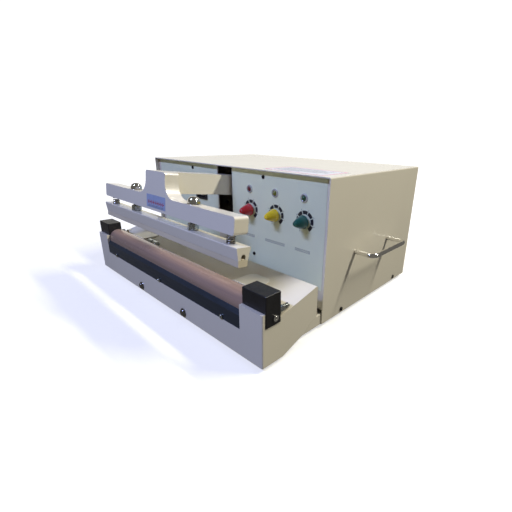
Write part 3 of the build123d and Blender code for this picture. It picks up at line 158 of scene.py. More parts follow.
def surface(
    name,
    color,
    rough,
    metallic=0.0,
    tint=0.06,
    tint_scale=25.0,
    stretch=(1, 1, 1),
    rough_spread=0.08,
    grain=0.0,
    grain_scale=900.0,
    coat=0.0,
    specular=0.5,
    worn=None,
    worn_amount=0.5,
    painted_shade=None,
    streak=0.0,
    streak_stretch=(1, 1, 1),
):
    """A procedural finish: mottled colour, uneven gloss, fine grain, worn edges and painted shade in corners."""
    material = bpy.data.materials.new(name)
    material.use_nodes = True
    tree = material.node_tree
    shader = tree.nodes["Principled BSDF"]
    shader.inputs["Metallic"].default_value = metallic
    shader.inputs["Coat Weight"].default_value = coat
    shader.inputs["Coat Roughness"].default_value = 0.12
    shader.inputs["Specular IOR Level"].default_value = specular
    coords = tree.nodes.new("ShaderNodeTexCoord").outputs["Object"]
    mapped = tree.nodes.new("ShaderNodeMapping")
    mapped.inputs["Scale"].default_value = stretch
    link(tree, coords, mapped.inputs["Vector"])
    cloud = noise(tree, mapped.outputs["Vector"], tint_scale)
    tone = spread(tree, cloud, 0.0, 1.0)
    base = blend_colors(tree, tone, shaded(color, 1 - tint), shaded(color, 1 + tint))
    if streak:
        along = tree.nodes.new("ShaderNodeMapping")
        along.inputs["Scale"].default_value = streak_stretch
        link(tree, coords, along.inputs["Vector"])
        lines = spread(tree, noise(tree, along.outputs["Vector"], 60.0, 3.0), 1 - streak, 1.0, 0.35, 0.6)
        base = blend_colors(tree, 1.0, base, lines, "MULTIPLY")
    # Painted shade: ambient occlusion darkens the colour towards the given shade colour in corners, creases and
    # recesses.
    if painted_shade:
        corner = tree.nodes.new("ShaderNodeAmbientOcclusion")
        corner.samples = 6
        corner.inputs["Distance"].default_value = 0.012
        depth = spread(tree, corner.outputs["AO"], 0.45, 0.0, 0.35, 0.95)
        base = blend_colors(tree, depth, base, painted_shade)
    if worn:
        rounded = tree.nodes.new("ShaderNodeBevel")
        rounded.samples = 4
        rounded.inputs["Radius"].default_value = 0.0011
        flatness = tree.nodes.new("ShaderNodeVectorMath")
        flatness.operation = "DOT_PRODUCT"
        link(tree, rounded.outputs["Normal"], flatness.inputs[0])
        link(tree, tree.nodes.new("ShaderNodeNewGeometry").outputs["Normal"], flatness.inputs[1])
        sharp = spread(tree, flatness.outputs["Value"], worn_amount, 0.0, 0.80, 0.985)
        patches = spread(tree, noise(tree, coords, 180.0), 0.0, 1.0, 0.42, 0.58)
        base = blend_colors(tree, multiply(tree, sharp, patches), base, worn)
    link(tree, base, shader.inputs["Base Color"])
    uneven = noise(tree, mapped.outputs["Vector"], tint_scale * 5)
    gloss = spread(tree, uneven, rough - rough_spread, rough + rough_spread)
    link(tree, gloss, shader.inputs["Roughness"])
    if grain:
        bump = tree.nodes.new("ShaderNodeBump")
        bump.inputs["Strength"].default_value = 1.0
        bump.inputs["Distance"].default_value = grain
        link(tree, noise(tree, mapped.outputs["Vector"], grain_scale, 2.0), bump.inputs["Height"])
        link(tree, bump.outputs["Normal"], shader.inputs["Normal"])
    return material


CREAM = (0.79, 0.75, 0.64)
# Colour that the painted shade in the cream paints' corners and recesses darkens towards.
CREAM_SHADE = (0.30, 0.25, 0.17)
STEEL_GREY = (0.55, 0.55, 0.56)
ALONG_X = (0.06, 1, 1)

# Each finish's corner-darkening colour is painted shade, which ambient occlusion lays into corners and recesses.
MATERIALS = {
    "cast_paint": surface(
        "cast_paint", CREAM, 0.30, tint=0.012, tint_scale=14, rough_spread=0.015,
        grain=0.000004, grain_scale=260,
        coat=0.5, worn=(0.40, 0.37, 0.32), worn_amount=0.55, painted_shade=CREAM_SHADE,
    ),
    "sheet_paint": surface(
        "sheet_paint", CREAM, 0.26, tint=0.012, tint_scale=7, rough_spread=0.01,
        grain=0.000002, grain_scale=300,
        coat=0.7, worn=(0.38, 0.35, 0.30), worn_amount=0.5, painted_shade=CREAM_SHADE,
    ),
    "plate_steel": surface("plate_steel", (0.16, 0.17, 0.18), 0.5, metallic=0.3, grain=0.00008, tint=0.15),
    "rubber": surface("rubber", (0.02, 0.02, 0.02), 0.8, tint=0.3, grain=0.00015, grain_scale=600),
    "zinc": surface(
        "zinc", (0.56, 0.60, 0.60), 0.24, metallic=1.0, tint=0.12, tint_scale=160, rough_spread=0.1,
        grain=0.00002, worn=(0.35, 0.33, 0.3), painted_shade=(0.08, 0.07, 0.05),
    ),
    "chrome": surface(
        "chrome", (0.86, 0.85, 0.83), 0.09, metallic=1.0, tint=0.05, tint_scale=90, rough_spread=0.04,
        painted_shade=(0.10, 0.09, 0.07),
    ),
    "dark_chrome": surface(
        "dark_chrome", (0.26, 0.26, 0.27), 0.16, metallic=1.0, tint=0.1, tint_scale=160, rough_spread=0.05,
        painted_shade=(0.02, 0.02, 0.02),
    ),
    "bar_alu": surface("bar_alu", (0.72, 0.72, 0.73), 0.32, metallic=1.0, stretch=ALONG_X, tint_scale=300),
    "tape": surface("tape", (0.50, 0.33, 0.13), 0.45, tint=0.15, tint_scale=120),
    "nichrome": surface("nichrome", (0.42, 0.40, 0.38), 0.3, metallic=1.0, stretch=ALONG_X, tint_scale=300),
    "strip_blue": surface(
        "strip_blue", (0.024, 0.036, 0.052), 0.44, metallic=0.30, tint=0.15, tint_scale=40,
        stretch=(0.2, 1, 1), grain=0.000004, coat=0.2, worn=(0.20, 0.26, 0.34), worn_amount=0.6,
    ),
    "block_black": surface(
        "block_black", (0.009, 0.009, 0.011), 0.42, tint=0.35, tint_scale=60, grain=0.000004,
        coat=0.1, worn=(0.20, 0.20, 0.21), worn_amount=0.6,
    ),
    "label": surface("label", (0.76, 0.82, 0.62), 0.38, tint=0.03, tint_scale=14, grain=0.00001),
    "black_screw": surface(
        "black_screw", (0.015, 0.015, 0.016), 0.4, metallic=0.6, tint=0.3, tint_scale=300,
    ),
    "black_plastic": surface("black_plastic", (0.018, 0.018, 0.019), 0.42, tint=0.25, grain=0.00006),
    "board": surface("board", (0.02, 0.14, 0.05), 0.35, tint=0.25, tint_scale=150, coat=0.3),
    "knob_red": surface("knob_red", (0.52, 0.018, 0.030), 0.16, tint=0.12, tint_scale=70, coat=0.6),
    "knob_yellow": surface("knob_yellow", (0.85, 0.62, 0.020), 0.16, tint=0.12, tint_scale=70, coat=0.6),
    "knob_green": surface("knob_green", (0.003, 0.105, 0.080), 0.16, tint=0.14, tint_scale=70, coat=0.6),
    "bezel": surface("bezel", (0.60, 0.62, 0.64), 0.2, metallic=0.55, tint=0.06, tint_scale=200),
    "lens_red": surface("lens_red", (0.13, 0.008, 0.018), 0.12, tint=0.25, tint_scale=500, coat=0.8),
    "lens_yellow": surface("lens_yellow", (0.16, 0.17, 0.02), 0.12, tint=0.25, tint_scale=500, coat=0.8),
    "lens_green": surface("lens_green", (0.018, 0.085, 0.035), 0.12, tint=0.25, tint_scale=500, coat=0.8),
    "rocker": surface("rocker", (0.014, 0.014, 0.015), 0.2, tint=0.2, tint_scale=90, coat=0.4),
    "steel": surface("steel", STEEL_GREY, 0.28, metallic=1.0, tint=0.1, tint_scale=140, rough_spread=0.08),
    "spring_steel": surface(
        "spring_steel", (0.48, 0.47, 0.45), 0.24, metallic=1.0, tint=0.18, tint_scale=260,
        painted_shade=(0.08, 0.06, 0.04),
    ),
    "motor_paint": surface("motor_paint", (0.10, 0.115, 0.13), 0.45, tint=0.12, grain=0.0001),
    "bronze": surface("bronze", (0.55, 0.34, 0.14), 0.35, metallic=1.0, tint=0.15, tint_scale=200),
    "silicone": surface(
        "silicone", (0.66, 0.59, 0.44), 0.55, tint=0.07, tint_scale=22, stretch=(0.3, 1, 1),
        grain=0.00008, grain_scale=350, painted_shade=(0.25, 0.17, 0.09),
    ),
    "laminations": surface(
        "laminations", (0.20, 0.20, 0.21), 0.45, metallic=0.8, stretch=(0.05, 1, 1),
        tint=0.3, tint_scale=900,
    ),
    "copper": surface("copper", (0.50, 0.22, 0.08), 0.4, tint=0.15, tint_scale=120, grain=0.0001),
    "capacitor": surface(
        "capacitor", (0.66, 0.66, 0.68), 0.22, metallic=1.0, stretch=(1, 1, 0.1), tint_scale=300,
    ),
    "ink_black": surface("ink_black", (0.016, 0.017, 0.022), 0.5, tint=0.25, tint_scale=260),
    "ink_grey": surface("ink_grey", (0.14, 0.16, 0.18), 0.5, tint=0.2, tint_scale=260),
    "ink_red": surface("ink_red", (0.46, 0.035, 0.065), 0.5, tint=0.12, tint_scale=260),
    "ink_white": surface("ink_white", (0.78, 0.79, 0.80), 0.4, tint=0.05, tint_scale=200),
    "sticker_blue": surface("sticker_blue", (0.35, 0.43, 0.62), 0.32, tint=0.05, tint_scale=60, coat=0.3),
    "sticker_white": surface("sticker_white", (0.74, 0.77, 0.84), 0.32, tint=0.04, tint_scale=40, coat=0.3),
    "sticker_pink": surface("sticker_pink", (0.80, 0.20, 0.28), 0.4, tint=0.08, tint_scale=90),
}


def ptfe_cloth():
    """PTFE-coated glass cloth: mauve brown, a fine weave, drawn into faint lengthwise lines."""
    material = surface(
        "ptfe", (0.37, 0.25, 0.19), 0.24, tint=0.10, tint_scale=12, stretch=(0.25, 1, 1),
        rough_spread=0.06, coat=0.35, streak=0.22, streak_stretch=(0.04, 1.6, 1.6),
    )
    tree = material.node_tree
    coords = tree.nodes.new("ShaderNodeTexCoord").outputs["Object"]
    heights = []
    for direction in ("X", "Y"):
        weave = tree.nodes.new("ShaderNodeTexWave")
        weave.bands_direction = direction
        weave.inputs["Scale"].default_value = 260.0
        weave.inputs["Distortion"].default_value = 0.6
        link(tree, coords, weave.inputs["Vector"])
        heights.append(weave.outputs["Fac"])
    bump = tree.nodes.new("ShaderNodeBump")
    bump.inputs["Strength"].default_value = 0.5
    bump.inputs["Distance"].default_value = 0.00003
    link(tree, multiply(tree, *heights), bump.inputs["Height"])
    link(tree, bump.outputs["Normal"], tree.nodes["Principled BSDF"].inputs["Normal"])
    return material


MATERIALS["ptfe"] = ptfe_cloth()


# ---------------------------------------------------------------- mesh building
def finish_piece(name, mesh, slot, body, replaced=(), material=None, sharp_deg=32.0):
    """Makes the object and shades it smooth up to its real edges; a body of None leaves it unhung."""
    piece = bpy.data.objects.new(name, mesh)
    bpy.context.scene.collection.objects.link(piece)
    mesh.materials.clear()
    mesh.materials.append(MATERIALS[material or slot])
    for polygon in mesh.polygons:
        polygon.use_smooth = True
        polygon.material_index = 0
    mesh.set_sharp_from_angle(angle=math.radians(sharp_deg))
    if body:
        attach(piece, body)
    if replaced:
        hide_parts(*replaced)
    return piece


def mesh_of(name, build):
    """A mesh made by build(bm), with its faces turned outward."""
    bm = bmesh.new()
    build(bm)
    bmesh.ops.recalc_face_normals(bm, faces=bm.faces)
    mesh = bpy.data.meshes.new(name)
    bm.to_mesh(mesh)
    bm.free()
    return mesh


def slot_of(node):
    return next(s["material_slot"] for s in frame["record"]["subparts"] if s["node"] == node)


def body_of(node):
    bodies = frame["record"]["behaviour"]["bodies"]
    return next(body for body, nodes in bodies.items() if node in nodes)


def soften(node, width, name, segments=3, material=None):
    """The CAD shape with its machined or cast edges rounded by `width`."""
    mesh = frame["nodes"][node].data.copy()
    bm = bmesh.new()
    bm.from_mesh(mesh)
    bmesh.ops.remove_doubles(bm, verts=bm.verts, dist=1e-6)
    bmesh.ops.dissolve_limit(bm, angle_limit=math.radians(0.5), verts=bm.verts, edges=bm.edges)
    bm.to_mesh(mesh)
    bm.free()
    piece = finish_piece(name, mesh, slot_of(node), body_of(node), [node], material)
    bevel = piece.modifiers.new("edges", "BEVEL")
    bevel.width = width
    bevel.segments = segments
    bevel.limit_method = "ANGLE"
    bevel.angle_limit = math.radians(32)
    bevel.use_clamp_overlap = True
    level = piece.modifiers.new("flat_faces", "WEIGHTED_NORMAL")
    level.weight = 100
    level.keep_sharp = True
    return piece


def round_point(place, reach, angle, height):
    """A point at `reach` and `angle` about the z of `place`."""
    return place @ Vector((reach * math.cos(angle), reach * math.sin(angle), height))


def add_lathe(bm, place, rows, segments=48, shape=None):
    """Turns (height, radius) rows about the z of `place`; shape(angle, row_radius) may bend the circle."""
    rings = []
    for height, radius in rows:
        ring = []
        for step in range(segments):
            angle = 2 * math.pi * step / segments
            reach = shape(angle, radius) if shape else radius
            ring.append(bm.verts.new(round_point(place, reach, angle, height)))
        rings.append(ring)
    for lower, upper in zip(rings, rings[1:]):
        for step in range(segments):
            after = (step + 1) % segments
            bm.faces.new((lower[step], lower[after], upper[after], upper[step]))
    bm.faces.new(list(reversed(rings[0])))
    bm.faces.new(rings[-1])


def add_ring(bm, place, rows, segments=48):
    """A closed ring: the rows are a closed loop of (height, radius)."""
    rings = []
    for height, radius in rows:
        rings.append([
            bm.verts.new(place @ Vector((
                radius * math.cos(2 * math.pi * step / segments),
                radius * math.sin(2 * math.pi * step / segments),
                height,
            )))
            for step in range(segments)
        ])
    for lower, upper in zip(rings, rings[1:] + rings[:1]):
        for step in range(segments):
            after = (step + 1) % segments
            bm.faces.new((lower[step], lower[after], upper[after], upper[step]))


def hexagon(across):
    """Shape for add_lathe: a hexagon `across` its flats, its corners cut to each row's radius."""
    apothem = across / 2

    def reach(angle, radius):
        turn = (angle + math.pi / 6) % (math.pi / 3) - math.pi / 6
        return min(apothem / math.cos(turn), radius)

    return reach


def add_hex_nut(bm, place, across, height):
    """A hex nut with its corners chamfered on both faces."""
    corner = across / 2 / math.cos(math.pi / 6)
    inner = across / 2 * 0.97
    chamfer = (corner - inner) * 0.5
    rows = [(0, inner), (chamfer, corner), (height - chamfer, corner), (height, inner)]
    add_lathe(bm, place, rows, 96, hexagon(across))


def add_tube(bm, points, radius, segments=16):
    """A round bar along the points, closed at both ends."""
    tangents = [
        (points[min(i + 1, len(points) - 1)] - points[max(i - 1, 0)]).normalized()
        for i in range(len(points))
    ]
    normal = tangents[0].orthogonal().normalized()
    rings = []
    for point, tangent in zip(points, tangents):
        normal = (normal - tangent * normal.dot(tangent)).normalized()
        side = tangent.cross(normal)
        rings.append([
            bm.verts.new(
                point
                + normal * radius * math.cos(2 * math.pi * step / segments)
                + side * radius * math.sin(2 * math.pi * step / segments)
            )
            for step in range(segments)
        ])
    for lower, upper in zip(rings, rings[1:]):
        for step in range(segments):
            after = (step + 1) % segments
            bm.faces.new((lower[step], lower[after], upper[after], upper[step]))
    bm.faces.new(list(reversed(rings[0])))
    bm.faces.new(rings[-1])


def add_slab(bm, place, outline, low, high):
    """A flat plate: the outline in the x, y of `place`, from height low to high."""
    bottom = [bm.verts.new(place @ Vector((x, y, low))) for x, y in outline]
    top = [bm.verts.new(place @ Vector((x, y, high))) for x, y in outline]
    bm.faces.new(list(reversed(bottom)))
    bm.faces.new(top)
    for step in range(len(outline)):
        after = (step + 1) % len(outline)
        bm.faces.new((bottom[step], bottom[after], top[after], top[step]))


def rectangle(x, y, width, height, radius=0.0, steps=5):
    """Outline of a rectangle centred on x, y with rounded corners."""
    if radius == 0:
        return [
            (x - width / 2, y - height / 2), (x + width / 2, y - height / 2),
            (x + width / 2, y + height / 2), (x - width / 2, y + height / 2),
        ]
    outline = []
    for corner, (side_x, side_y) in enumerate(((1, 1), (-1, 1), (-1, -1), (1, -1))):
        for step in range(steps + 1):
            angle = math.pi / 2 * (corner + step / steps)
            outline.append((
                x + side_x * (width / 2 - radius) + radius * math.cos(angle),
                y + side_y * (height / 2 - radius) + radius * math.sin(angle),
            ))
    return outline


def arc_band(start, end, inner, outer, steps=8):
    """Outline of a piece of a ring, from angle start to end."""
    angles = [start + (end - start) * step / steps for step in range(steps + 1)]
    return [(outer * math.cos(a), outer * math.sin(a)) for a in angles] + [
        (inner * math.cos(a), inner * math.sin(a)) for a in reversed(angles)
    ]


# ---------------------------------------------------------------- castings, sheet and bars
soften("bed_casting", 1.6 * MM, "bed_body")
soften("arm_casting", 1.5 * MM, "arm_body")
soften("sealing_jaw", 0.9 * MM, "jaw_body")
soften("cabinet_cover", 0.7 * MM, "cabinet_shell")
soften("base_tray", 0.7 * MM, "base_pan")
soften("front_panel", 0.3 * MM, "panel_sheet", 2)
soften("rear_panel", 0.3 * MM, "rear_sheet", 2)
soften("silicone_strip", 0.5 * MM, "jaw_silicone", 2)
soften("front_strip", 0.4 * MM, "clamp_strip", 2)
soften("end_blocks", 0.8 * MM, "insulating_blocks")
soften("element_terminals", 0.35 * MM, "terminals", 2)
soften("power_switch_body", 0.8 * MM, "switch_bezel")
soften("power_switch_rocker", 0.8 * MM, "switch_rocker")
soften("power_inlet", 0.6 * MM, "inlet_shell", 2)
for screws, edge in (
    ("strip_screws", 0.5), ("end_block_screws", 0.6), ("cover_screws", 0.5), ("panel_screws", 0.5),
):
    soften(screws, edge * MM, screws + "_set", 2)
soften("apron_bolts", 0.3 * MM, "apron_bolts_set", 2, "dark_chrome")


# ---------------------------------------------------------------- bolster cover
def bolster_cover():
    """The PTFE cloth drawn over the bolster, with its ends turned in slightly."""
    low, high = span("ptfe_cover")
    radius = (high.y - low.y) / 2
    crown = high.z
    axis_y = (low.y + high.y) / 2
    axis_z = crown - radius
    skin = 0.7 * MM

    def build(bm):
        profile = [(low.y, low.z)]
        for step in range(49):
            turn = math.pi * step / 48
            profile.append((axis_y - radius * math.cos(turn), axis_z + radius * math.sin(turn)))
        profile.append((high.y, low.z))
        steps = 60
        outer, inner = [], []
        for step in range(steps + 1):
            x = low.x + (high.x - low.x) * step / steps
            end = min(x - low.x, high.x - x)
            turned = 0.5 * MM * math.exp(-end / (1.5 * MM))
            for shell, drop in ((outer, turned), (inner, skin)):
                shrink = (radius - drop) / radius
                row = []
                for y, z in profile:
                    drawn_z = z if z <= axis_z else axis_z + (z - axis_z) * shrink
                    row.append(bm.verts.new((x, axis_y + (y - axis_y) * shrink, drawn_z)))
                shell.append(row)
        for shell in (outer, inner):
            for first, second in zip(shell, shell[1:]):
                for i in range(len(profile) - 1):
                    bm.faces.new((first[i], first[i + 1], second[i + 1], second[i]))
        for index in (0, steps):
            for i in range(len(profile) - 1):
                bm.faces.new((outer[index][i], outer[index][i + 1], inner[index][i + 1], inner[index][i]))
        for i in (0, len(profile) - 1):
            for step in range(steps):
                bm.faces.new((outer[step][i], outer[step + 1][i], inner[step + 1][i], inner[step][i]))

    finish_piece("bolster_cover", mesh_of("bolster_cover", build), "ptfe", "chassis", ["ptfe_cover"])


bolster_cover()


# ---------------------------------------------------------------- jaw fasteners and springs
def add_thread(bm, place, radius, length, pitch, turns_seg=24):
    """A threaded rod: a cut helix on a rod, with chamfered ends."""
    rows = max(8, int(length / pitch * 6))
    depth = pitch * 0.35
    rings = []
    for row in range(rows + 1):
        height = length * row / rows
        end = min(height, length - height)
        ring = []
        for step in range(turns_seg):
            angle = 2 * math.pi * step / turns_seg
            phase = (height / pitch - step / turns_seg) % 1.0
            groove = depth * (1 - abs(2 * phase - 1))
            reach = min(radius - groove, radius - depth + end)
            ring.append(bm.verts.new(round_point(place, reach, angle, height)))
        rings.append(ring)
    for lower, upper in zip(rings, rings[1:]):
        for step in range(turns_seg):
            after = (step + 1) % turns_seg
            bm.faces.new((lower[step], lower[after], upper[after], upper[step]))
    bm.faces.new(list(reversed(rings[0])))
    bm.faces.new(rings[-1])


def jaw_fasteners():
    """Studs, lock nuts and acorn nuts on both sides of the arm."""
    def arm_seat(node, side):
        low, high = span(node, ARM, side)
        centre = (low + high) / 2
        return ARM @ Vector((centre.x, centre.y, low.z)), high.z - low.z, high.x - low.x

    def studs(bm):
        for side in (-1, 1):
            seat, length, width = arm_seat("jaw_studs", side)
            add_thread(bm, facing(seat, ARM_UP), width / 2, length, 1.75 * MM)

    def lock_nuts(bm):
        for side in (-1, 1):
            seat, height, width = arm_seat("jaw_lock_nuts", side)
            across = width * math.cos(math.pi / 6)
            add_hex_nut(bm, facing(seat, ARM_UP, (0.9, 0.2 * side, 0)), across, height)

    def acorns(bm):
        for side in (-1, 1):
            seat, height, width = arm_seat("acorn_nuts", side)
            place = facing(seat, ARM_UP, (0.9, 0.3 * side, 0))
            flange = width / 2
            rows = [(0, flange * 0.97), (0.5 * MM, flange)]
            rows += [(1.2 * MM, flange * 0.98), (1.7 * MM, flange * 0.9)]
            add_lathe(bm, place, rows)
            hexed = facing(seat + ARM_UP * 1.6 * MM, ARM_UP, (0.9, 0.3 * side, 0))
            across = 18.8 * MM
            corner = across / 2 / math.cos(math.pi / 6)
            collar = 4.4 * MM
            dome = height - 1.6 * MM - collar
            rows = [(0, corner), (collar - 0.6 * MM, corner), (collar, corner * 0.93)]
            add_lathe(bm, hexed, rows, 96, hexagon(across))
            base = corner * 0.93
            rows = [(collar - 0.5 * MM, base)]
            for step in range(19):
                turn = step * math.pi / 36
                rows.append((collar + dome * math.sin(turn), max(base * math.cos(turn), 0.05 * MM)))
            add_lathe(bm, hexed, rows, 64)

    finish_piece("stud_rods", mesh_of("stud_rods", studs), "zinc", "jaw", ["jaw_studs"])
    finish_piece("lock_nut_set", mesh_of("lock_nut_set", lock_nuts), "zinc", "jaw", ["jaw_lock_nuts"])
    finish_piece("acorn_nut_set", mesh_of("acorn_nut_set", acorns), "chrome", "jaw", ["acorn_nuts"])


def washer_rows(inner, outer, thick, start=0.0):
    """Closed outline of a washer with eased rims."""
    ease = thick * 0.2
    return [
        (start, inner), (start, outer - ease), (start + ease, outer), (start + thick - ease, outer),
        (start + thick, outer - ease), (start + thick, inner),
    ]


jaw_fasteners()


def coil_points(place, radius, length, turns, flat=0.75, steps=28):
    """A compression spring's centre line: its end turns lie flat, the rest climb evenly."""
    count = int(turns * steps)
    points = []
    for step in range(count + 1):
        turn = step / steps
        climb = min(max((turn - flat) / (turns - 2 * flat), 0.0), 1.0)
        angle = 2 * math.pi * turn
        points.append(place @ Vector((radius * math.cos(angle), radius * math.sin(angle), length * climb)))
    return points


def jaw_coils():
    """The two springs that press the jaw down; here they are fixed coils that ride with the jaw."""
    wire = 1.1 * MM
    for side, name in ((-1, "jaw_coil_left"), (1, "jaw_coil_right")):
        low, high = span("jaw_springs", ARM, side)
        jaw_top = low.z - 0.1 * MM
        crossbar = span("arm_casting", ARM)[0].z
        centre = (low + high) / 2
        seat = ARM @ Vector((centre.x, centre.y, jaw_top + wire))
        length = crossbar - jaw_top - 2 * wire
        points = coil_points(facing(seat, ARM_UP), (high.x - low.x) / 2 - wire, length, 5.0)
        mesh = mesh_of(name, lambda bm: add_tube(bm, points, wire, 12))
        replaced = ["jaw_springs"] if side < 0 else []
        coil = finish_piece(name, mesh, "spring_steel", "jaw", replaced, sharp_deg=60)
        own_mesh(coil)


jaw_coils()


def stretching_spring():
    """The arm's return spring, its lower eye on the tray and its upper eye on the arm; here it is one fixed coil
    on no body.
    """
    mesh = frame["nodes"]["return_spring"].data.copy()
    spring = finish_piece("return_coil", mesh, "spring_steel", None, ["return_spring"], sharp_deg=60)
    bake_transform(spring)


stretching_spring()


# ---------------------------------------------------------------- tension studs, handles and feet
def tension_studs():
    def build(bm):
        for side in (-1, 1):
            low, high = span("tension_screws", side=side)
            back = span("end_blocks", side=side)[1].y
            centre = (low + high) / 2
            place = facing((centre.x, back, centre.z), (0, 1, 0))
            add_ring(bm, place, washer_rows(4.2 * MM, 6.9 * MM, 1.3 * MM))
            seat = facing((centre.x, back + 1.4 * MM, centre.z), (0, 1, 0), (1, 0, 0.4))
            add_hex_nut(bm, seat, 11.9 * MM, 8.0 * MM)
            rod = facing((centre.x, back - 2 * MM, centre.z), (0, 1, 0))
            add_thread(bm, rod, 4.0 * MM, high.y - back + 2 * MM, 1.25 * MM)

    finish_piece("tension_studs", mesh_of("tension_studs", build), "zinc", "chassis", ["tension_screws"])


tension_studs()


def carrying_handles():
    """Each handle is one bent chrome rod, bolted on from inside the cabinet."""
    rod = 4.5 * MM
    bend = 14 * MM

    def build(bm):
        for side in (-1, 1):
            low, high = span("side_handles", side=side)
            wall = side * span("cabinet_cover")[1].x
            reach = (high.x if side > 0 else low.x) - side * rod
            level = (low.z + high.z) / 2
            near, far = low.y + rod, high.y - rod
            points = [Vector((wall, near, level))]
            for corner, start in ((near, -math.pi / 2), (far, 0.0)):
                centre_y = corner + (bend if corner == near else -bend)
                for step in range(13):
                    angle = start + math.pi / 2 * step / 12
                    points.append(Vector((
                        reach - side * bend + side * bend * math.cos(angle),
                        centre_y + bend * math.sin(angle),
                        level,
                    )))
            points.append(Vector((wall, far, level)))
            add_tube(bm, points, rod, 32)

    mesh = mesh_of("carrying_handles", build)
    finish_piece("carrying_handles", mesh, "chrome", "chassis", ["side_handles"])


carrying_handles()


def feet():
    def build(bm):
        low, high = span("rubber_feet")
        wide = 11 * MM
        for x in (low.x + wide, high.x - wide):
            for y in (low.y + wide, high.y - wide):
                place = facing((x, y, high.z), (0, 0, -1))
                height = high.z - low.z
                rows = [
                    (0, wide), (height * 0.3, wide * 0.99),
                    (height * 0.85, wide * 0.93), (height * 0.97, wide * 0.9),
                    (height, wide * 0.85), (height, wide * 0.45), (height * 0.7, wide * 0.42),
                ]
                add_lathe(bm, place, rows)

    finish_piece("feet", mesh_of("feet", build), "rubber", "chassis", ["rubber_feet"])


feet()


# ---------------------------------------------------------------- control panel
PANEL_FACE = span("control_labels")[0].y
PRINT = 0.12 * MM
TIMERS = ("cycle", "cooling", "sealing")
KNOB_SLOTS = {"cycle": "knob_red", "cooling": "knob_yellow", "sealing": "knob_green"}
LENS_SLOTS = {"cycle": "lens_red", "cooling": "lens_yellow", "sealing": "lens_green"}


def panel_place(x, z):
    """Frame on the panel's face: x to the operator's right, y up, z towards the operator."""
    return facing((x, PANEL_FACE, z), FRONT)


def timer_knob(name):
    """A glossy domed knob: round skirt, drawn-in waist and a blunt nose, with a fine parting line."""
    node = "timer_knob_" + name
    low, high = span(node)
    x, z = (low.x + high.x) / 2, (low.z + high.z) / 2
    radius = (high.x - low.x) / 2
    length = 25 * MM
    place = facing((x, low.y + length, z), FRONT)
    rows = [
        (0.0, radius * 0.90), (0.3 * MM, radius * 0.97), (1.0 * MM, radius),
        (2.6 * MM, radius), (2.9 * MM, radius * 0.985),
    ]
    for step in range(1, 25):
        share = step / 24
        height = 2.9 * MM + (length - 2.9 * MM) * math.sin(share * math.pi / 2)
        taper = 1 - 0.50 * (height / length) ** 1.25
        nose = math.cos(share * math.pi / 2) ** 0.42
        rows.append((height, max(radius * taper * nose, 0.05 * MM)))

    def build(bm):
        add_lathe(bm, place, rows, 72)
        add_lathe(bm, place, [(-7.0 * MM, 3.0 * MM), (0.5 * MM, 3.0 * MM)], 32)

    finish_piece("knob_" + name + "_dome", mesh_of(node, build), KNOB_SLOTS[name], "knob_" + name, [node])


def timer_dial(name):
    """The printed scale round a knob: a broken black ring, ticks and small figures."""
    centre = middle("timer_knob_" + name)
    place = panel_place(centre.x, centre.z)
    first, last = math.radians(240), math.radians(-60)
    marks = 7
    step_angle = (last - first) / marks

    def ring(bm):
        for mark in range(marks):
            start = first + step_angle * (mark + 0.07)
            end = first + step_angle * (mark + 0.93)
            add_slab(bm, place, arc_band(end, start, 13.4 * MM, 19.9 * MM), 0.0, PRINT)
        for mark in range(marks + 1):
            angle = first + step_angle * mark
            tick = Matrix.Rotation(angle, 4, "Z")
            add_slab(bm, place @ tick, rectangle(20.8 * MM, 0, 0.9 * MM, 0.5 * MM), 0.0, PRINT)

    finish_piece("dial_" + name, mesh_of("dial_" + name, ring), "label", "chassis", material="ink_black")
    for mark in range(marks + 1):
        angle = first + step_angle * mark
        reach = 22.4 * MM
        spot = place @ Vector((reach * math.cos(angle), reach * math.sin(angle), 0.5 * PRINT))
        letters = bpy.data.curves.new("figure", "FONT")
        letters.body = str(mark)
        letters.size = 3.3 * MM
        letters.align_x = "CENTER"
        letters.align_y = "CENTER"
        letters.extrude = 0.03 * MM
        source = bpy.data.objects.new("figure", letters)
        bpy.context.scene.collection.objects.link(source)
        bpy.context.view_layer.update()
        mesh = bpy.data.meshes.new_from_object(source.evaluated_get(bpy.context.evaluated_depsgraph_get()))
        bpy.data.objects.remove(source)
        mesh.transform(panel_place(spot.x, spot.z))
        finish_piece(f"dial_{name}_figure_{mark}", mesh, "label", "chassis", material="ink_black")


def plain_marks(name, place, count, width, height):
    """A row of small open boxes in place of a printed word."""
    pitch = width / count
    line = 0.75 * MM

    def build(bm):
        for index in range(count):
            x = -width / 2 + pitch * (index + 0.5)
            half = pitch * 0.34
            for side in (-1, 1):
                add_slab(bm, place, rectangle(x + side * (half - line / 2), 0, line, height), 0.0, PRINT)
            for y in (-1, 1):
                end = rectangle(x, y * (height - line) / 2, 2 * (half - line), line)
                add_slab(bm, place, end, 0.0, PRINT)

    finish_piece(name, mesh_of(name, build), "label", "chassis", material="ink_grey")


def lamp(name):
    """A small domed lens in its pale turned bezel."""
    node = "lamp_" + name
    low, high = span(node)
    x, z = (low.x + high.x) / 2, (low.z + high.z) / 2
    place = panel_place(x, z)
    dome = (high.x - low.x) / 2
    proud = PANEL_FACE - low.y

    def lens(bm):
        rise = min(dome, proud - 0.5 * MM)
        rows = [(-4 * MM, dome), (proud - rise, dome)]
        for step in range(1, 17):
            turn = step * math.pi / 32
            rows.append((proud - rise + rise * math.sin(turn), max(dome * math.cos(turn), 0.04 * MM)))
        add_lathe(bm, place, rows, 48)

    finish_piece("lens_" + name, mesh_of(node, lens), LENS_SLOTS[name], "chassis", [node])


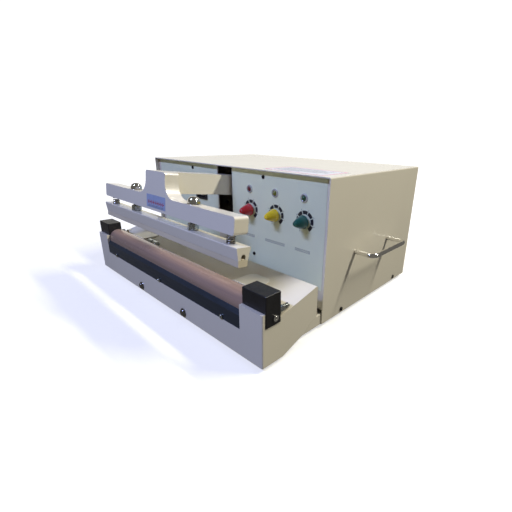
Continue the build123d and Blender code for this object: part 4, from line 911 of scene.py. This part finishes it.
def lamp_rings():
    def build(bm):
        low, high = span("lamp_bezels")
        radius = (high.z - low.z) / 2
        for name in TIMERS:
            centre = middle("lamp_" + name)
            low_lens, high_lens = span("lamp_" + name)
            bore = (high_lens.x - low_lens.x) / 2 + 0.1 * MM
            rows = [
                (0.0, bore), (0.0, radius), (0.7 * MM, radius),
                (1.9 * MM, radius * 0.93), (2.35 * MM, radius * 0.84),
                (2.4 * MM, bore + 0.5 * MM), (2.1 * MM, bore),
            ]
            add_ring(bm, panel_place(centre.x, centre.z), rows)

    finish_piece("lamp_rings", mesh_of("lamp_rings", build), "bezel", "chassis", ["lamp_bezels"])


for timer in TIMERS:
    timer_knob(timer)
    timer_dial(timer)
    lamp(timer)
lamp_rings()
MARKS_DROP = 56.0 * MM
for timer, count, width in (("cycle", 5, 26), ("cooling", 10, 54), ("sealing", 7, 37)):
    spot = middle("timer_knob_" + timer)
    place = panel_place(spot.x - 3 * MM, spot.z - MARKS_DROP)
    plain_marks("marks_" + timer, place, count, width * MM, 5.2 * MM)


def rocker_marks():
    """The usual stroke and circle on the power switch."""
    low, high = span("power_switch_rocker")
    mid_x = (low.x + high.x) / 2
    mid_z = (low.z + high.z) / 2

    def build(bm):
        upper = facing((mid_x, low.y - 0.02 * MM + 0.55 * MM, mid_z + 4.0 * MM), (0, -1, -0.12))
        add_slab(bm, upper, rectangle(0, 0, 0.9 * MM, 4.0 * MM), 0.0, 0.1 * MM)
        lower = facing((mid_x, low.y + 2.25 * MM, mid_z - 3.6 * MM), (0, -1, 0.1))
        add_ring(bm, lower, [(0, 1.3 * MM), (0, 2.0 * MM), (0.1 * MM, 2.0 * MM), (0.1 * MM, 1.3 * MM)], 32)

    finish_piece("rocker_marks", mesh_of("rocker_marks", build), "rocker", "rocker", material="ink_white")


rocker_marks()


# ---------------------------------------------------------------- stickers
STICKER_FACE = 0.2 * MM
STICKER_INK = 0.3 * MM


def sticker_ground(name, place, width, height, corner, body, material):
    """The sticker's own sheet, with rounded corners."""
    def build(bm):
        add_slab(bm, place, rectangle(0, 0, width, height, corner), 0.0, STICKER_FACE)

    finish_piece(name, mesh_of(name, build), "label", body, material=material)


def sticker_print(name, place, boxes, body, material):
    """Plain bars printed on a sticker; each box is a centre x, y, a width and a height."""
    def build(bm):
        for box in boxes:
            add_slab(bm, place, rectangle(*box), STICKER_FACE, STICKER_INK)

    finish_piece(name, mesh_of(name, build), "label", body, material=material)


def arm_sticker():
    """The sticker on the arm's front: blue ground, one row of red marks and two grey lines, no words."""
    low = span("arm_casting", ARM)[0]
    width, height = 70 * MM, 24 * MM
    centre = ARM @ Vector((3 * MM, low.y, low.z + 17 * MM))
    place = facing(centre, ARM_FRONT)
    sticker_ground("arm_sticker", place, width, height, 1 * MM, "arm", "sticker_blue")
    count, pitch = 9, 6.9 * MM
    marks = []
    for index in range(count):
        x = (index - (count - 1) / 2) * pitch
        marks.append((x, -2.0 * MM, pitch * 0.70, 1.8 * MM))
        marks.append((x - pitch * 0.22, -2.0 * MM, pitch * 0.24, 7.0 * MM))
    sticker_print("arm_sticker_marks", place, marks, "arm", "ink_red")
    lines = [(0, (-8.0 - 2.0 * row) * MM, width * 0.82, 0.7 * MM) for row in range(2)]
    sticker_print("arm_sticker_lines", place, lines, "arm", "ink_grey")


def top_sticker():
    """The large sticker on the cabinet's top: white, pink frame, plain grey rows."""
    low, high = span("cabinet_cover")
    width, height = 150 * MM, 80 * MM
    place = facing((189 * MM, low.y + 53 * MM, high.z), UP) @ Matrix.Rotation(math.radians(-3), 4, "Z")
    sticker_ground("top_sticker", place, width, height, 2 * MM, "chassis", "sticker_white")
    inset, line = 4 * MM, 2.2 * MM
    border = []
    for sign in (-1, 1):
        border.append((0, sign * (height / 2 - inset), width - 2 * inset + line, line))
        border.append((sign * (width / 2 - inset), 0, line, height - 2 * inset - line))
    sticker_print("top_sticker_border", place, border, "chassis", "sticker_pink")
    rows = []
    for row, share in enumerate((0.62, 0.80, 0.74, 0.80, 0.70, 0.45)):
        y = height * (0.28 - 0.11 * row)
        rows.append((-width * (0.82 - share) / 2, y, width * share, 1.6 * MM))
    sticker_print("top_sticker_rows", place, rows, "chassis", "ink_grey")


arm_sticker()
top_sticker()


# ---------------------------------------------------------------- finishes of the CAD pieces that stay
for node, cad_object in frame["nodes"].items():
    cad_object.data.materials.clear()
    cad_object.data.materials.append(MATERIALS[slot_of(node)])
    for polygon in cad_object.data.polygons:
        polygon.use_smooth = True
    cad_object.data.set_sharp_from_angle(angle=math.radians(32))


# ---------------------------------------------------------------- stage, light and camera
STAGE_FLAT = 5.0
STAGE_SWEEP = 3.0
STAGE_HEIGHT = 7.0
STAGE_GLOW = (0.55, 1.0)  # close to the machine and far from it


def stage():
    """A pale round floor that sweeps up all round and neither lights the machine nor mirrors in it."""
    def build(bm):
        rows = [(0.001, 0.0), (0.6, 0.0), (STAGE_FLAT, 0.0)]
        for step in range(1, 13):
            turn = step * math.pi / 24
            rows.append((STAGE_FLAT + STAGE_SWEEP * math.sin(turn), STAGE_SWEEP * (1 - math.cos(turn))))
        rows.append((STAGE_FLAT + STAGE_SWEEP, STAGE_HEIGHT))
        steps = 96
        rings = []
        for radius, z in rows:
            ring = []
            for step in range(steps):
                turn = 2 * math.pi * step / steps
                ring.append(bm.verts.new((radius * math.cos(turn), radius * math.sin(turn), z)))
            rings.append(ring)
        for inner, outer in zip(rings, rings[1:]):
            for i in range(steps):
                j = (i + 1) % steps
                bm.faces.new((inner[i], outer[i], outer[j], inner[j]))
        bm.faces.new(rings[0])

    mesh = mesh_of("stage", build)
    backdrop = bpy.data.objects.new("stage", mesh)
    bpy.context.scene.collection.objects.link(backdrop)
    paper = surface("stage_paper", (0.6, 0.6, 0.6), 0.9, tint=0.01, tint_scale=1.5, specular=0.1)
    tree = paper.node_tree
    reach = tree.nodes.new("ShaderNodeVectorMath")
    reach.operation = "LENGTH"
    link(tree, tree.nodes.new("ShaderNodeTexCoord").outputs["Object"], reach.inputs[0])
    glow = spread(tree, reach.outputs["Value"], *STAGE_GLOW, 0.5, 2.4)
    link(tree, glow, tree.nodes["Principled BSDF"].inputs["Emission Strength"])
    tree.nodes["Principled BSDF"].inputs["Emission Color"].default_value = (1.0, 1.0, 1.0, 1.0)
    mesh.materials.append(paper)
    for polygon in mesh.polygons:
        polygon.use_smooth = True
    backdrop.visible_diffuse = False
    backdrop.visible_glossy = False


LIGHTS = (
    # name, place, target, size across and along, watts, colour
    ("tube_front", (-0.10, -1.85, 2.05), (0.0, -0.1, 0.15), (1.2, 0.12), 50.0, (0.43, 0.52, 1.0)),
    ("tube_back", (1.30, 1.10, 2.10), (0.1, 0.0, 0.1), (1.3, 0.16), 66.0, (1.0, 0.95, 0.80)),
    ("wall_back", (-2.6, 2.6, 1.1), (0.0, 0.0, 0.3), (5.0, 2.2), 24.0, (1.0, 0.98, 0.9)),
)
WORLD_STRENGTH = 0.13
WORLD_COLOR = (1.0, 0.95, 0.85)


def lighting():
    for name, place, target, size, watts, color in LIGHTS:
        data = bpy.data.lights.new(name, "AREA")
        data.shape = "RECTANGLE"
        data.size, data.size_y = size
        data.energy = watts
        data.color = color
        holder = bpy.data.objects.new(name, data)
        away = (Vector(place) - Vector(target)).normalized()
        holder.matrix_world = facing(place, away)
        holder.visible_camera = False
        bpy.context.scene.collection.objects.link(holder)
    world = bpy.data.worlds.new("studio")
    bpy.context.scene.world = world
    world.use_nodes = True
    background = world.node_tree.nodes["Background"]
    background.inputs["Color"].default_value = (*WORLD_COLOR, 1.0)
    background.inputs["Strength"].default_value = WORLD_STRENGTH
    bpy.context.scene.view_settings.view_transform = "Standard"


CAMERA_PLACE = (0.590, -0.535, 0.3345)
CAMERA_HEADING = math.radians(42.2)  # turned from straight in front towards the operator's right
CAMERA_TILT = math.radians(20.0)  # looking down
CAMERA_ROLL = math.radians(1.2)


def camera():
    data = bpy.data.cameras.new("camera")
    data.sensor_width = 36.0
    data.lens = 23.2
    data.shift_x = -0.0566
    data.clip_start = 0.02
    data.clip_end = 60.0
    eye = bpy.data.objects.new("camera", data)
    level = Vector((math.cos(CAMERA_HEADING), math.sin(CAMERA_HEADING), 0))
    behind = Vector((math.sin(CAMERA_HEADING), -math.cos(CAMERA_HEADING), 0)) * math.cos(CAMERA_TILT)
    behind.z = math.sin(CAMERA_TILT)
    right = Matrix.Rotation(CAMERA_ROLL, 3, behind) @ level
    eye.matrix_world = facing(CAMERA_PLACE, behind, right)
    bpy.context.scene.collection.objects.link(eye)
    bpy.context.scene.camera = eye


stage()
lighting()
camera()
